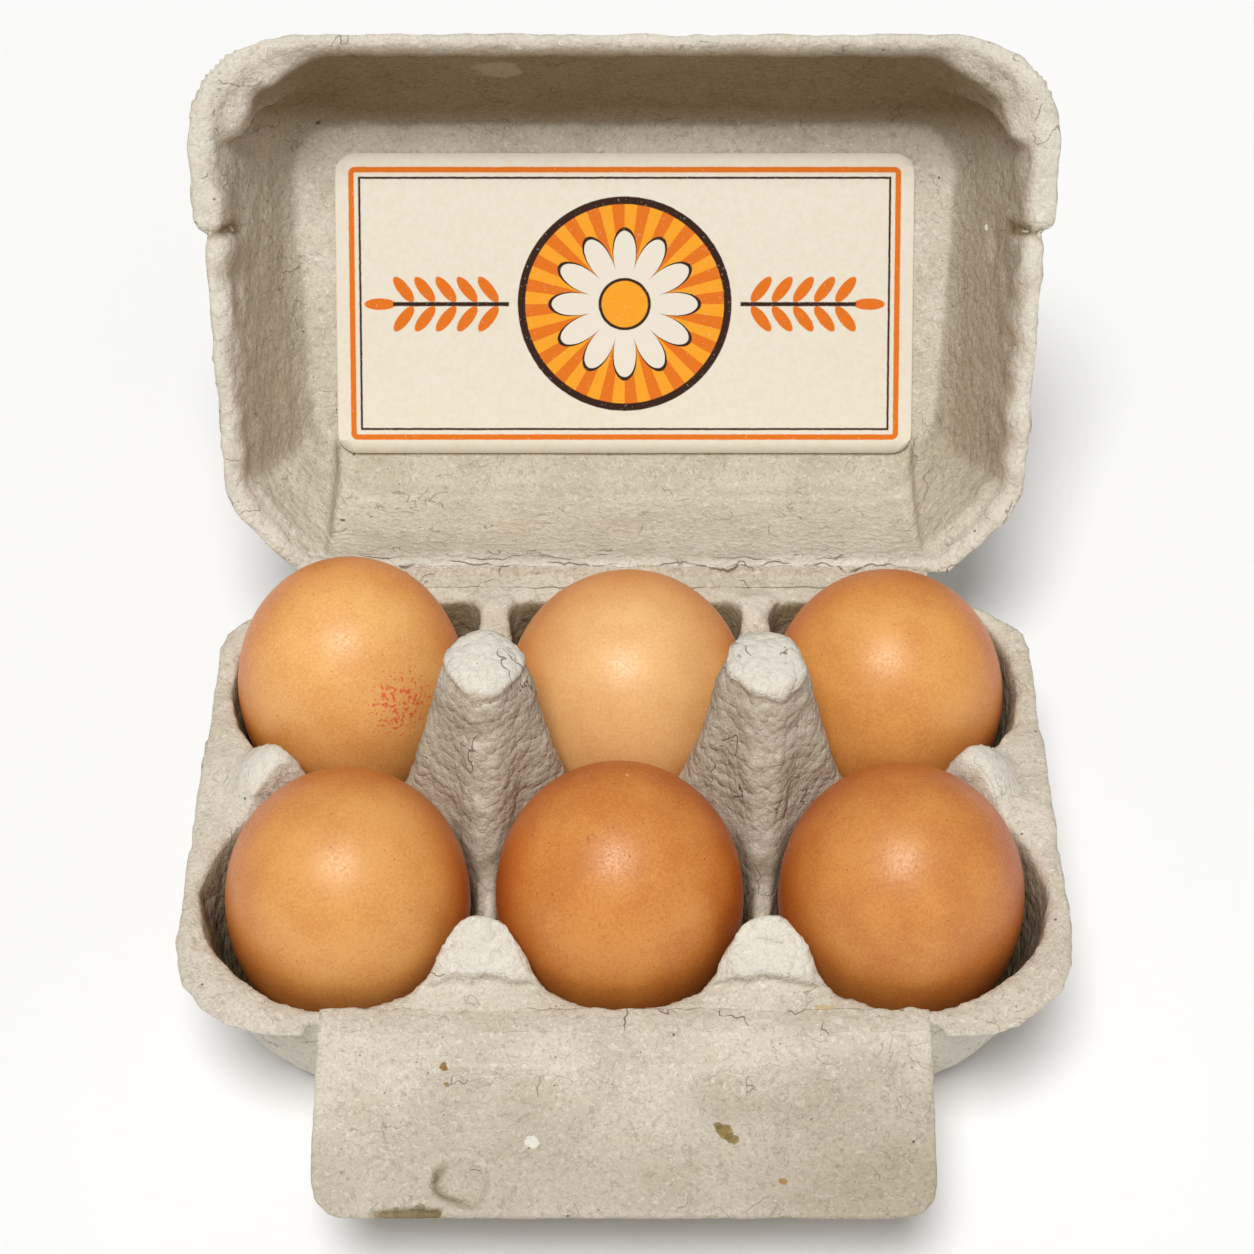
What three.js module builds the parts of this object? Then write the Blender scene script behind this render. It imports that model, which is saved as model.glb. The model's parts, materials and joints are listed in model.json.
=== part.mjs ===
// Moulded-pulp carton for six hen's eggs, lid open and lock flap folded out, with its eggs.
// Millimetres. +X runs along a row of three eggs, +Y from the lock flap to the hinge, +Z up.
// The origin is the centre of the footprint box, on the table.
import * as THREE from 'three';

// Tray
const PULP = 2.0;
const SLIT = 0.3;
const COLUMN_PITCH = 49.5;
const ROW_PITCH = 48.8;
const RIM_Z = 37.3;
const FLOOR_TOP = 2.3;
const FLOOR_RADIUS = 12.8;
const FOOT_RADIUS = 14.0;
const FRONT_EDGE_Y = -52.0;
const REAR_EDGE_Y = 51.0;
const FRONT_HALF_WIDTH = 78.9;
const REAR_HALF_WIDTH = 76.5;
const FRONT_CORNER_RADIUS = 20.4;
const FRONT_CORNER_Y = -35.0;
const REAR_CORNER_Y = 34.0;
const REAR_CORNER_RADIUS = 7.0;
const REAR_CORNER_DEG = 54;
const CHAMFER_X = 58.5;
const POST_HEIGHT = 69.0;
const POST_LEAN = 3.8;
const LEAN_FROM_Z = 40;
const LEAN_TO_Z = 66;
const DIVIDER_X = COLUMN_PITCH / 2;
const CREST_HALF_WIDTH = 0.8;
const LIP_SEARCH = 0.05;

// Lid
const LID_OPEN_DEG = 51;
const LID_LENGTH = 103.1;
const LID_DEPTH = 33;
const HINGE_Y = 51.2;
const HINGE_LIFT = 0.15;
const LIP_START = 0.78;
const LIP_STEP = 3;
const LIP_REACH = 1.6;

// Lock flap and its two latch hollows
const FLAP_DROP_DEG = 15.8;
const FLAP_LENGTH = 34.9;
const FLAP_HALF_WIDTH = 52.8;
const FLAP_CORNER = 6;
const FLAP_BEVEL = 3.5;
const FLAP_SQUARE = 25;
const EAR_GAP = 0.8;
const EAR_SLOPE = 1.2;
const EAR_REACH = 3.4;
const LATCH = { depth: 3, floorHalf: 8.5, mouthHalf: 17.5, shoulder: 8.5, foot: 11.5, rampEnd: 32 };

// Label
const LABEL_WIDTH = 114.6;
const LABEL_HEIGHT = 59.4;
const LABEL_CORNER = 4;
const LABEL_THICKNESS = 0.35;
const LABEL_CENTRE_T = 50.4;
const LABEL_LIFT = 0.2;

// Eggs: greatest radius, height of the top, and how far the widest part leans from its cup's centre
const EGGS = {
  egg_front_left: { column: -1, row: -1, radius: 21.7, top: 60.4, lean: [0.5, -0.2], colour: 0xc98a4e },
  egg_front_centre: { column: 0, row: -1, radius: 22.0, top: 61.3, lean: [-0.8, 0.3], colour: 0xb9692f },
  egg_front_right: { column: 1, row: -1, radius: 21.8, top: 61.0, lean: [-0.5, 0.2], colour: 0xc07538 },
  egg_rear_left: { column: -1, row: 1, radius: 21.3, top: 62.2, lean: [-1.1, 0.6], colour: 0xd29a5c },
  egg_rear_centre: { column: 0, row: 1, radius: 22.4, top: 59.3, lean: [0.5, -0.7], colour: 0xdfb57e },
  egg_rear_right: { column: 1, row: 1, radius: 21.6, top: 59.7, lean: [-0.6, -0.4], colour: 0xc67f40 },
};
const EGG_BLUNTNESS = 0.12;
const EGG_RINGS = 11;
const EGG_SIDES = 20;

// Inside radius of a cup at each height, and how it departs from round
const POCKET = [
  [FLOOR_TOP, FLOOR_RADIUS], [4.5, 15.0], [9, 17.6], [15, 20.1], [22, 22.2],
  [30, 23.5], [RIM_Z, 24.3], [50, 25.8], [62, 27.6], [74, 30.2],
];
const SIDE_SQUEEZE = 0.03;
const FRONT_SIDE_STRETCH = 0.055;
const SIDE_DIVIDER_FROM = [0.2, 0.6];
const FRONT_BULGE = 0.05;

// The rear cups are nearly square beside their divider: how much wider, and between which directions
const REAR_NOOK = 0.2;
const NOOK_DEG = [30, 40, 48, 56];

// Height of the crest at each distance from a post, along the four ridges that run from it
const POST_SIDE = [[0, POST_HEIGHT], [5, 68.4], [7, 66], [10.5, 53], [14, 40]];
const MIDDLE_RIDGE = [...POST_SIDE, [18, 32.5], [DIVIDER_X, 30]];
const FRONT_RIDGE = [
  ...POST_SIDE, [18, 31.5], [24.4, 27], [30, 29.5], [34.5, 40], [37.5, 47.4], [39, 48.3],
  [43.4, 43.2], [45.9, 41.2], [48.6, RIM_Z], [-FRONT_EDGE_Y, RIM_Z],
];
const REAR_RIDGE = [
  ...POST_SIDE, [18, 31.5], [24.4, 28], [31, 29], [35, 35.5], [39, 38.3], [43, 38.5],
  [47, RIM_Z], [REAR_EDGE_Y, RIM_Z],
];
const SIDE_RIDGE = [
  ...POST_SIDE, [18, 32.5], [DIVIDER_X, 30], [30, 33], [33, 41], [36, 45.7], [39, 46.2],
  [42.5, 43.6], [47.6, RIM_Z], [sideEdge(0) - DIVIDER_X, RIM_Z],
];
const FLANGE_FROM_X = 62;
const FLANGE_FROM_Y = 37;

// A ridge's top is flat for so far to each side of its middle line, and then falls at this slope
const POST_SHOULDER = { flat: 4, slope: 3, until: 20 };
const DIVIDER_SHOULDER = { flat: 2, slope: 0.6, from: 30 };

const pulpGrey = new THREE.MeshStandardMaterial({ color: 0xc4bcae, roughness: 0.95, metalness: 0 });
const labelCream = new THREE.MeshStandardMaterial({ color: 0xe9dfcc, roughness: 0.8, metalness: 0 });

// Half width of the rim on the straight side
function sideEdge(y) {
  const slope = (REAR_HALF_WIDTH - FRONT_HALF_WIDTH) / (REAR_CORNER_Y - FRONT_CORNER_Y);
  return FRONT_HALF_WIDTH + slope * (y - FRONT_CORNER_Y);
}

// Straight-line reading of a list of [where, value] pairs, or of the pairs turned round
function along(pairs, where, from = 0) {
  const to = 1 - from;
  let i = 0;
  while (i < pairs.length - 2 && where > pairs[i + 1][from]) i += 1;
  const [a, b] = [pairs[i], pairs[i + 1]];
  return a[to] + (b[to] - a[to]) * (where - a[from]) / (b[from] - a[from]);
}

// Points after `a`, up to `b`, in equal steps
function run(a, b, pieces) {
  const points = [];
  for (let i = 1; i <= pieces; i += 1) {
    const f = i / pieces;
    points.push([a[0] + (b[0] - a[0]) * f, a[1] + (b[1] - a[1]) * f]);
  }
  return points;
}

// Points after the start of an arc, up to its end
function arc(centre, radius, fromDeg, toDeg, pieces) {
  return run([fromDeg, 0], [toDeg, 0], pieces).map(([deg]) => {
    const a = THREE.MathUtils.degToRad(deg);
    return [centre[0] + radius * Math.cos(a), centre[1] + radius * Math.sin(a)];
  });
}

// Half an outline and its mirror image in the Y axis, as one line that ends where it started
function mirrored(half, start) {
  return [...half, ...half.slice(0, -1).reverse().map(([x, y]) => [-x, y]), start];
}

// A closed mesh's triangles, with shared corners
class Shell {
  constructor() {
    this.points = [];
    this.faces = [];
    this.seen = new Map();
  }

  vertex(x, y, z) {
    const rounded = [x, y, z].map((v) => Math.round(v * 1000) / 1000 + 0);
    const key = rounded.join(' ');
    if (!this.seen.has(key)) {
      this.seen.set(key, this.points.length);
      this.points.push(rounded);
    }
    return this.seen.get(key);
  }

  face(a, b, c) {
    if (a !== b && b !== c && c !== a) this.faces.push(a, b, c);
  }

  gap(a, b) {
    return Math.hypot(...this.points[a].map((v, i) => v - this.points[b][i]));
  }

  // Two faces, split along the shorter diagonal
  quad(a, b, c, d) {
    if (this.gap(a, c) <= this.gap(b, d)) {
      this.face(a, b, c);
      this.face(a, c, d);
    } else {
      this.face(a, b, d);
      this.face(b, c, d);
    }
  }

  // Band between two rings with as many corners each; the outer ring is the second
  band(inner, outer) {
    inner.forEach((_, i) => {
      const j = (i + 1) % inner.length;
      this.quad(inner[i], outer[i], outer[j], inner[j]);
    });
  }

  fan(centre, ring) {
    ring.forEach((_, i) => this.face(centre, ring[i], ring[(i + 1) % ring.length]));
  }

  geometry(bend = (p) => p) {
    const geometry = new THREE.BufferGeometry();
    const flat = this.points.flatMap((p) => bend(p));
    geometry.setAttribute('position', new THREE.Float32BufferAttribute(flat, 3));
    geometry.setIndex(this.faces);
    geometry.computeVertexNormals();
    return geometry;
  }
}

// Fall of a ridge at a distance from its middle line: steep on a post, gentle on a divider
function shoulder(off, fromPost) {
  const divider = THREE.MathUtils.smoothstep(fromPost, POST_SHOULDER.until, DIVIDER_SHOULDER.from);
  const flat = THREE.MathUtils.lerp(POST_SHOULDER.flat, DIVIDER_SHOULDER.flat, divider);
  const slope = THREE.MathUtils.lerp(POST_SHOULDER.slope, DIVIDER_SHOULDER.slope, divider);
  return slope * Math.max(0, off - flat);
}

// Crest: the pulp's upper surface wherever no cup is sunk into it
function crest(x, y) {
  const across = Math.abs(x) - DIVIDER_X;
  const alongX = along(across < 0 ? MIDDLE_RIDGE : SIDE_RIDGE, Math.abs(across));
  const alongY = along(y < 0 ? FRONT_RIDGE : REAR_RIDGE, Math.abs(y));
  const flange = Math.abs(x) > FLANGE_FROM_X || Math.abs(y) > FLANGE_FROM_Y ? RIM_Z : 0;
  return Math.max(
    alongX - shoulder(Math.abs(y), Math.abs(across)),
    alongY - shoulder(Math.abs(across), Math.abs(y)),
    flange,
  );
}

// The same surface seen from below, one wall thickness away on every side
function crestBelow(x, y) {
  const around = [[0, 0], [PULP, 0], [-PULP, 0], [0, PULP], [0, -PULP]];
  return Math.min(...around.map(([dx, dy]) => crest(x + dx, y + dy))) - PULP;
}

// How much wider or narrower than a round cup the cup is in one direction
function cupStretch(column, row, dx, dy) {
  const length = Math.hypot(dx, dy) || 1;
  const outX = Math.max(0, column * dx / length);
  const outFront = row < 0 ? Math.max(0, -dy / length) : 0;
  const toRear = row < 0 ? THREE.MathUtils.smoothstep(dy / length, ...SIDE_DIVIDER_FROM) : 1;
  const side = THREE.MathUtils.lerp(FRONT_SIDE_STRETCH, -SIDE_SQUEEZE, toRear);
  const round = 1 + side * outX ** 4 + FRONT_BULGE * outFront ** 4;
  if (row < 0 || column * dx > 0) return round;
  const deg = THREE.MathUtils.radToDeg(Math.atan2(dy, Math.abs(dx)));
  const rise = THREE.MathUtils.smoothstep(deg, NOOK_DEG[0], NOOK_DEG[1]);
  const fall = THREE.MathUtils.smoothstep(deg, NOOK_DEG[2], NOOK_DEG[3]);
  return round + REAR_NOOK * (rise - fall);
}

// Distance from the cup's middle at which its wall meets the crest, found from the cell's edge inwards
function lipDistance(wallHeight, crestHeight, start, end) {
  let r = end;
  while (r > start && wallHeight(r) > crestHeight(r)) r -= LIP_SEARCH;
  return Math.min(r, end - CREST_HALF_WIDTH);
}

// Outline of the tray's rim round one corner cup, from the front divider to the rear one
function cornerRim() {
  const notch = [FLAP_HALF_WIDTH + EAR_GAP, FRONT_EDGE_Y];
  const cornerCentre = [FRONT_HALF_WIDTH - FRONT_CORNER_RADIUS, FRONT_CORNER_Y];
  const ear = [cornerCentre[0], FRONT_CORNER_Y - FRONT_CORNER_RADIUS];
  const side = [sideEdge(0), 0];
  const rearCentre = [REAR_HALF_WIDTH - REAR_CORNER_RADIUS, REAR_CORNER_Y];
  const chamferFoot = [CHAMFER_X, REAR_EDGE_Y];
  const front = [
    ...run([DIVIDER_X, FRONT_EDGE_Y], notch, 3), [notch[0] + EAR_SLOPE, FRONT_EDGE_Y - EAR_REACH], ear,
    ...arc(cornerCentre, FRONT_CORNER_RADIUS, -90, 0, 6),
    ...run([FRONT_HALF_WIDTH, FRONT_CORNER_Y], side, 3),
  ];
  const rearArc = arc(rearCentre, REAR_CORNER_RADIUS, 0, REAR_CORNER_DEG, 2);
  const rear = [
    ...run(side, [REAR_HALF_WIDTH, REAR_CORNER_Y], 3), ...rearArc,
    ...run(rearArc[rearArc.length - 1], chamferFoot, 3),
    ...run(chamferFoot, [DIVIDER_X, REAR_EDGE_Y], 4),
  ];
  return { front, rear };
}

// Corners of a middle cup's cell, anticlockwise: its share of the rim, then the ridges to its neighbours
function middleCell(row, ridgeY) {
  const endY = row < 0 ? FRONT_EDGE_Y : REAR_EDGE_Y;
  const rim = run([row * DIVIDER_X, endY], [-row * DIVIDER_X, endY], 6).slice(0, -1);
  const left = ridgeY.map((y) => [row * DIVIDER_X, y]);
  const right = ridgeY.map((y) => [-row * DIVIDER_X, y]).reverse();
  const between = MIDDLE_RIDGE.slice(1).map(([s]) => [-row * (DIVIDER_X - s), 0]);
  const back = MIDDLE_RIDGE.slice(1, -1).map(([s]) => [row * (DIVIDER_X - s), 0]).reverse();
  return [...left, ...rim, ...right, ...between, ...back];
}

// The same for a corner cup on the +X side
function cornerCell(row, ridgeY) {
  const { front, rear } = cornerRim();
  const ridge = ridgeY.map((y) => [DIVIDER_X, y]);
  const side = SIDE_RIDGE.map(([s]) => [DIVIDER_X + s, 0]);
  if (row < 0) return [...ridge, ...front.slice(0, -1), ...side.reverse().slice(0, -1)];
  return [...side, ...rear.slice(0, -1), ...ridge.reverse().slice(0, -1)];
}

function cellEdge(column, row) {
  const ridgeY = (row < 0 ? FRONT_RIDGE : REAR_RIDGE).map(([s]) => s * row);
  if (column === 0) return middleCell(row, ridgeY);
  const cell = cornerCell(row, ridgeY);
  return column > 0 ? cell : cell.map(([x, y]) => [-x, y]).reverse();
}

// One face of the tray over one cup: the floor, the wall and the crest out to the cell's edge
function addCup(shell, column, row, face) {
  const centre = [column * COLUMN_PITCH, row * ROW_PITCH / 2];
  const rings = [];
  cellEdge(column, row).forEach(([x, y], k) => {
    const [dx, dy] = [x - centre[0], y - centre[1]];
    const reach = Math.hypot(dx, dy);
    const stretch = cupStretch(column, row, dx, dy);
    const wall = (r) => face.heightAt(r / stretch);
    const top = (r) => face.crest(centre[0] + dx * r / reach, centre[1] + dy * r / reach);
    const floorEdge = face.floorRadius * stretch;
    const lip = lipDistance(wall, top, floorEdge, reach);
    const lipZ = Math.min(wall(lip), top(lip));
    const wallSpots = face.wallSteps.map((f) => {
      const z = THREE.MathUtils.lerp(face.floorZ, lipZ, f);
      return [face.radiusAt(z) * stretch, z];
    });
    const spots = [[floorEdge, face.floorZ], ...wallSpots, [lip, lipZ]];
    if (face.crestRing) {
      const half = (lip + reach) / 2;
      spots.push([half, Math.min(wall(half), top(half))]);
    }
    const corners = spots.map(([r, z]) => (
      shell.vertex(centre[0] + dx * r / reach, centre[1] + dy * r / reach, z)
    ));
    corners.push(shell.vertex(x, y, Math.min(wall(reach), face.crest(x, y))));
    corners.forEach((corner, ring) => {
      rings[ring] ??= [];
      rings[ring][k] = corner;
    });
  });
  const middle = shell.vertex(centre[0], centre[1], face.floorZ);
  const order = face.faceUp ? (ring) => ring : (ring) => [...ring].reverse();
  shell.fan(middle, order(rings[0]));
  for (let i = 1; i < rings.length; i += 1) shell.band(order(rings[i - 1]), order(rings[i]));
}

// The tray: an upper and a lower face, joined round the rim
function trayGeometry() {
  const shell = new Shell();
  const outside = [[0, FOOT_RADIUS], ...POCKET.slice(1).map(([z, r]) => [z, r + PULP])];
  const upper = {
    faceUp: true,
    crest,
    crestRing: true,
    floorZ: FLOOR_TOP,
    floorRadius: FLOOR_RADIUS,
    wallSteps: [0.1, 0.26, 0.5, 0.78],
    heightAt: (r) => along(POCKET, r, 1),
    radiusAt: (z) => along(POCKET, z),
  };
  const lower = {
    faceUp: false,
    crest: crestBelow,
    crestRing: false,
    floorZ: 0,
    floorRadius: FOOT_RADIUS,
    wallSteps: [0.15, 0.4, 0.7],
    heightAt: (r) => along(outside, r, 1),
    radiusAt: (z) => along(outside, z),
  };
  for (const row of [-1, 1]) {
    for (const column of [-1, 0, 1]) {
      addCup(shell, column, row, upper);
      addCup(shell, column, row, lower);
    }
  }
  const { front, rear } = cornerRim();
  const start = [0, FRONT_EDGE_Y];
  const half = [
    ...run(start, [DIVIDER_X, FRONT_EDGE_Y], 3), ...front, ...rear,
    ...run([DIVIDER_X, REAR_EDGE_Y], [0, REAR_EDGE_Y], 3),
  ];
  const rim = mirrored(half, start);
  const top = rim.map(([x, y]) => shell.vertex(x, y, RIM_Z));
  const bottom = rim.map(([x, y]) => shell.vertex(x, y, RIM_Z - PULP));
  shell.band(top, bottom);
  return shell.geometry(([x, y, z]) => {
    const lean = POST_LEAN * THREE.MathUtils.smoothstep(z, LEAN_FROM_Z, LEAN_TO_Z);
    return [x, y + lean, z];
  });
}

// Lines round the lid, from the roof's inner edge up the inside, over the rim and down the outside:
// depth, how far inside the hinge and the free edge, half width at the rear and at the front,
// length of the rear chamfer, radius of the front corner
const LID_RIM = [0.25, 0, 76.7, 81.3, 14.3, 20.5];
const LID_LINES = [
  [LID_DEPTH, 14.2, 17.6, 61.8, 65.4, 9.8, 9],
  [29, 11.0, 14.6, 64.6, 68.4, 10.8, 11],
  [16, 6.6, 8.6, 68.9, 72.7, 11.8, 14],
  [2, 3.6, 3.5, 72.8, 76.6, 12.8, 16.8],
  [0, 2.8, 2.8, 73.6, 77.4, 13.3, 17.5],
  [0, ...LID_RIM],
  [PULP, ...LID_RIM],
  [PULP + 1, 1.6, 1.7, 74.7, 78.5, 13.6, 18.6],
  [16, 4.5, 6.5, 71.0, 74.8, 12.5, 15.7],
  [29.5, 8.9, 12.6, 66.7, 70.5, 11.5, 12.5],
  [LID_DEPTH + PULP, 13.4, 16.8, 62.6, 66.2, 10.1, 9.5],
];
const LID_LIP_LINES = [5, 6];

// The rear chamfer is two facets: where they meet and where they end, in chamfer lengths
const CHAMFER_BEND = [0.2, 0.74];
const CHAMFER_END = 1.1;

// One closed line round the lid, anticlockwise seen from the open side
function lidRing([, rear, inset, rearHalf, frontHalf, chamfer, corner], lip) {
  const front = LID_LENGTH - inset;
  const chamferStart = [rearHalf - chamfer, rear];
  const chamferMiddle = [rearHalf - CHAMFER_BEND[0] * chamfer, rear + CHAMFER_BEND[1] * chamfer];
  const chamferEnd = [rearHalf, rear + CHAMFER_END * chamfer];
  const cornerStart = [frontHalf + lip, front - corner];
  const sideAt = (t) => THREE.MathUtils.mapLinear(t, chamferEnd[1], cornerStart[1], rearHalf, frontHalf);
  const lipFrom = LIP_START * cornerStart[1];
  const beforeLip = [sideAt(lipFrom), lipFrom];
  const afterLip = [sideAt(lipFrom + LIP_STEP) + lip, lipFrom + LIP_STEP];
  const half = [
    ...run([0, rear], chamferStart, 3),
    ...run(chamferStart, chamferMiddle, 2), chamferEnd,
    ...run(chamferEnd, beforeLip, 3), afterLip, cornerStart,
    ...arc([cornerStart[0] - corner, cornerStart[1]], corner, 0, 90, 5),
    ...run([cornerStart[0] - corner, front], [0, front], 3),
  ];
  return mirrored(half, [0, rear]);
}

// The lid lying on its back: hinge on the X axis, opening up, free edge towards +Y
function lidGeometry() {
  const shell = new Shell();
  const rings = LID_LINES.map((line, i) => {
    const lip = LID_LIP_LINES.includes(i) ? LIP_REACH : 0;
    return lidRing(line, lip).map(([x, t]) => shell.vertex(x, t, -HINGE_LIFT - line[0]));
  });
  for (let i = 1; i < rings.length; i += 1) shell.band(rings[i - 1], rings[i]);
  const roofInside = shell.vertex(0, LABEL_CENTRE_T, -HINGE_LIFT - LID_DEPTH);
  const roofOutside = shell.vertex(0, LABEL_CENTRE_T, -HINGE_LIFT - LID_DEPTH - PULP);
  shell.fan(roofInside, rings[0]);
  shell.fan(roofOutside, [...rings[rings.length - 1]].reverse());
  return shell.geometry();
}

// Depth of the latch hollows at a spot of the flap: steep by the crease, a ramp to the free edge
function latchHollow(x, t) {
  const off = Math.abs(Math.abs(x) - DIVIDER_X);
  const share = (value, zero, one) => THREE.MathUtils.clamp((value - zero) / (one - zero), 0, 1);
  const acrossFall = share(off, LATCH.mouthHalf, LATCH.floorHalf);
  const down = share(t, LATCH.shoulder, LATCH.foot);
  const up = share(t, LATCH.rampEnd, LATCH.foot);
  return LATCH.depth * acrossFall * Math.min(down, up);
}

// Places across half the flap: the middle, one latch hollow's edges and the free corner
function flapColumns() {
  const hollow = [-LATCH.mouthHalf, -LATCH.floorHalf, 0, LATCH.floorHalf, LATCH.mouthHalf];
  const corner = [1, 0.5, 0.15, 0].map((f) => FLAP_HALF_WIDTH - f * FLAP_CORNER);
  return [3.6, ...hollow.map((x) => DIVIDER_X + x), ...corner];
}

// The lock flap: its crease on the X axis, its free edge towards -Y, its face up
function flapGeometry() {
  const shell = new Shell();
  const columns = flapColumns();
  const across = [...columns.map((x) => -x).reverse(), 0, ...columns];
  const start = SLIT / 2;
  const lengthwise = [
    start, FLAP_BEVEL, LATCH.shoulder, LATCH.foot, 18, FLAP_SQUARE, 30, 33.4, FLAP_LENGTH,
  ];
  const edgeT = (x) => {
    const into = Math.max(0, Math.abs(x) - (FLAP_HALF_WIDTH - FLAP_CORNER));
    return FLAP_LENGTH - FLAP_CORNER + Math.sqrt(FLAP_CORNER ** 2 - into ** 2);
  };
  const rows = lengthwise.map((t) => across.map((x) => {
    const fitted = t < FLAP_SQUARE
      ? t
      : THREE.MathUtils.mapLinear(t, FLAP_SQUARE, FLAP_LENGTH, FLAP_SQUARE, edgeT(x));
    const z = -latchHollow(x, fitted);
    const wall = PULP * THREE.MathUtils.clamp((fitted - start) / (FLAP_BEVEL - start), 0.1, 1);
    return [shell.vertex(x, -fitted, z), shell.vertex(x, -fitted, z - wall)];
  }));
  const last = rows.length - 1;
  const end = across.length - 1;
  for (let i = 1; i < rows.length; i += 1) {
    for (let j = 1; j < across.length; j += 1) {
      const [a, b, c, d] = [rows[i - 1][j - 1], rows[i - 1][j], rows[i][j], rows[i][j - 1]];
      shell.quad(d[0], c[0], b[0], a[0]);
      shell.quad(a[1], b[1], c[1], d[1]);
    }
    shell.quad(rows[i][0][0], rows[i - 1][0][0], rows[i - 1][0][1], rows[i][0][1]);
    shell.quad(rows[i - 1][end][0], rows[i][end][0], rows[i][end][1], rows[i - 1][end][1]);
  }
  for (let j = 1; j < across.length; j += 1) {
    shell.quad(rows[0][j - 1][0], rows[0][j][0], rows[0][j][1], rows[0][j - 1][1]);
    shell.quad(rows[last][j][0], rows[last][j - 1][0], rows[last][j - 1][1], rows[last][j][1]);
  }
  return shell.geometry();
}

function labelGeometry() {
  const [w, h] = [LABEL_WIDTH / 2 - LABEL_CORNER, LABEL_HEIGHT / 2 - LABEL_CORNER];
  const outline = new THREE.Shape();
  outline.absarc(w, h, LABEL_CORNER, 0, Math.PI / 2);
  outline.absarc(-w, h, LABEL_CORNER, Math.PI / 2, Math.PI);
  outline.absarc(-w, -h, LABEL_CORNER, Math.PI, 1.5 * Math.PI);
  outline.absarc(w, -h, LABEL_CORNER, 1.5 * Math.PI, 2 * Math.PI);
  const settings = { depth: LABEL_THICKNESS, bevelEnabled: false, curveSegments: 5 };
  return new THREE.ExtrudeGeometry(outline, settings);
}

// An egg standing on its pointed end, on the Z axis
function eggGeometry(radius, length) {
  const widest = 1 + EGG_BLUNTNESS ** 2 / 2;
  const profile = [];
  for (let i = 0; i <= EGG_RINGS; i += 1) {
    const a = Math.PI * i / EGG_RINGS;
    const onAxis = i === 0 || i === EGG_RINGS;
    const r = onAxis ? 0 : radius / widest * Math.sin(a) * (1 - EGG_BLUNTNESS * Math.cos(a));
    profile.push(new THREE.Vector2(r, length / 2 * (1 - Math.cos(a))));
  }
  return new THREE.LatheGeometry(profile, EGG_SIDES).rotateX(Math.PI / 2);
}

function named(name, geometry, material) {
  const mesh = new THREE.Mesh(geometry, material);
  mesh.name = name;
  return mesh;
}

const carton = new THREE.Group();
carton.add(named('base_tray', trayGeometry(), pulpGrey.clone()));

const lidGroup = new THREE.Group();
lidGroup.position.set(0, HINGE_Y, RIM_Z + HINGE_LIFT);
lidGroup.rotation.x = THREE.MathUtils.degToRad(LID_OPEN_DEG);
lidGroup.add(named('lid', lidGeometry(), pulpGrey.clone()));
const label = named('label', labelGeometry(), labelCream);
label.position.set(0, LABEL_CENTRE_T, LABEL_LIFT - HINGE_LIFT - LID_DEPTH);
lidGroup.add(label);
carton.add(lidGroup);

const flapGroup = new THREE.Group();
flapGroup.position.set(0, FRONT_EDGE_Y - SLIT / 2, RIM_Z);
flapGroup.rotation.x = THREE.MathUtils.degToRad(FLAP_DROP_DEG);
flapGroup.add(named('lock_flap', flapGeometry(), pulpGrey.clone()));
carton.add(flapGroup);

for (const [name, { column, row, radius, top, lean, colour }] of Object.entries(EGGS)) {
  const foot = FLOOR_TOP + SLIT;
  const eggshell = new THREE.MeshStandardMaterial({ color: colour, roughness: 0.55, metalness: 0 });
  const egg = named(name, eggGeometry(radius, top - foot), eggshell);
  egg.position.set(column * COLUMN_PITCH, row * ROW_PITCH / 2, foot);
  egg.rotation.x = -Math.asin(lean[1] / (top / 2));
  egg.rotation.y = Math.asin(lean[0] / (top / 2));
  carton.add(egg);
}

carton.updateMatrixWorld(true);
const footprint = new THREE.Box3().setFromObject(carton, true);
carton.position.y = -(footprint.min.y + footprint.max.y) / 2;

export default carton;
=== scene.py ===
"""Looks of a moulded-pulp carton with six brown eggs, in metres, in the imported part's own axes."""
import json
import math

import bmesh
import bpy
from mathutils import Matrix, Vector, noise


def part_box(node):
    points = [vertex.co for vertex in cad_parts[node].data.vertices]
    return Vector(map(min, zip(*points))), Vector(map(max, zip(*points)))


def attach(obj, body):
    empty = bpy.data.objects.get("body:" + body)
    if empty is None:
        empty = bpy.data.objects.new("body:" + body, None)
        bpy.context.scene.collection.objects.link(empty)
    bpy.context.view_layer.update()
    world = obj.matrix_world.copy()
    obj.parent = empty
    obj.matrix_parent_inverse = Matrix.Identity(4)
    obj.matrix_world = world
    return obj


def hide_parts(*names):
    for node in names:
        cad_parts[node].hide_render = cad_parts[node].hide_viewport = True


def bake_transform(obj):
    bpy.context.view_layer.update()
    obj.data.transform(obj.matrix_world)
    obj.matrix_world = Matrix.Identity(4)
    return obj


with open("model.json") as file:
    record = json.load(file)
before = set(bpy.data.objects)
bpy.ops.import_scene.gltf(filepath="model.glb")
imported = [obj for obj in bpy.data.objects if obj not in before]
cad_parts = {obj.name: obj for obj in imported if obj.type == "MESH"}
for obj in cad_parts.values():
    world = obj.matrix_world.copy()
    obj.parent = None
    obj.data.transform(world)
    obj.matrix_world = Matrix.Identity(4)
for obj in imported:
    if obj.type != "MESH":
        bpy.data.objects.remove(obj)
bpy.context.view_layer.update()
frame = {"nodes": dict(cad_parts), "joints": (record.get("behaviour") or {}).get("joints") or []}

MM = 0.001

# The seed of the random vectors behind the pulp's crumpled drift
noise.seed_set(1)

def joint(name):
    return next(j for j in frame["joints"] if j["name"] == name)


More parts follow.
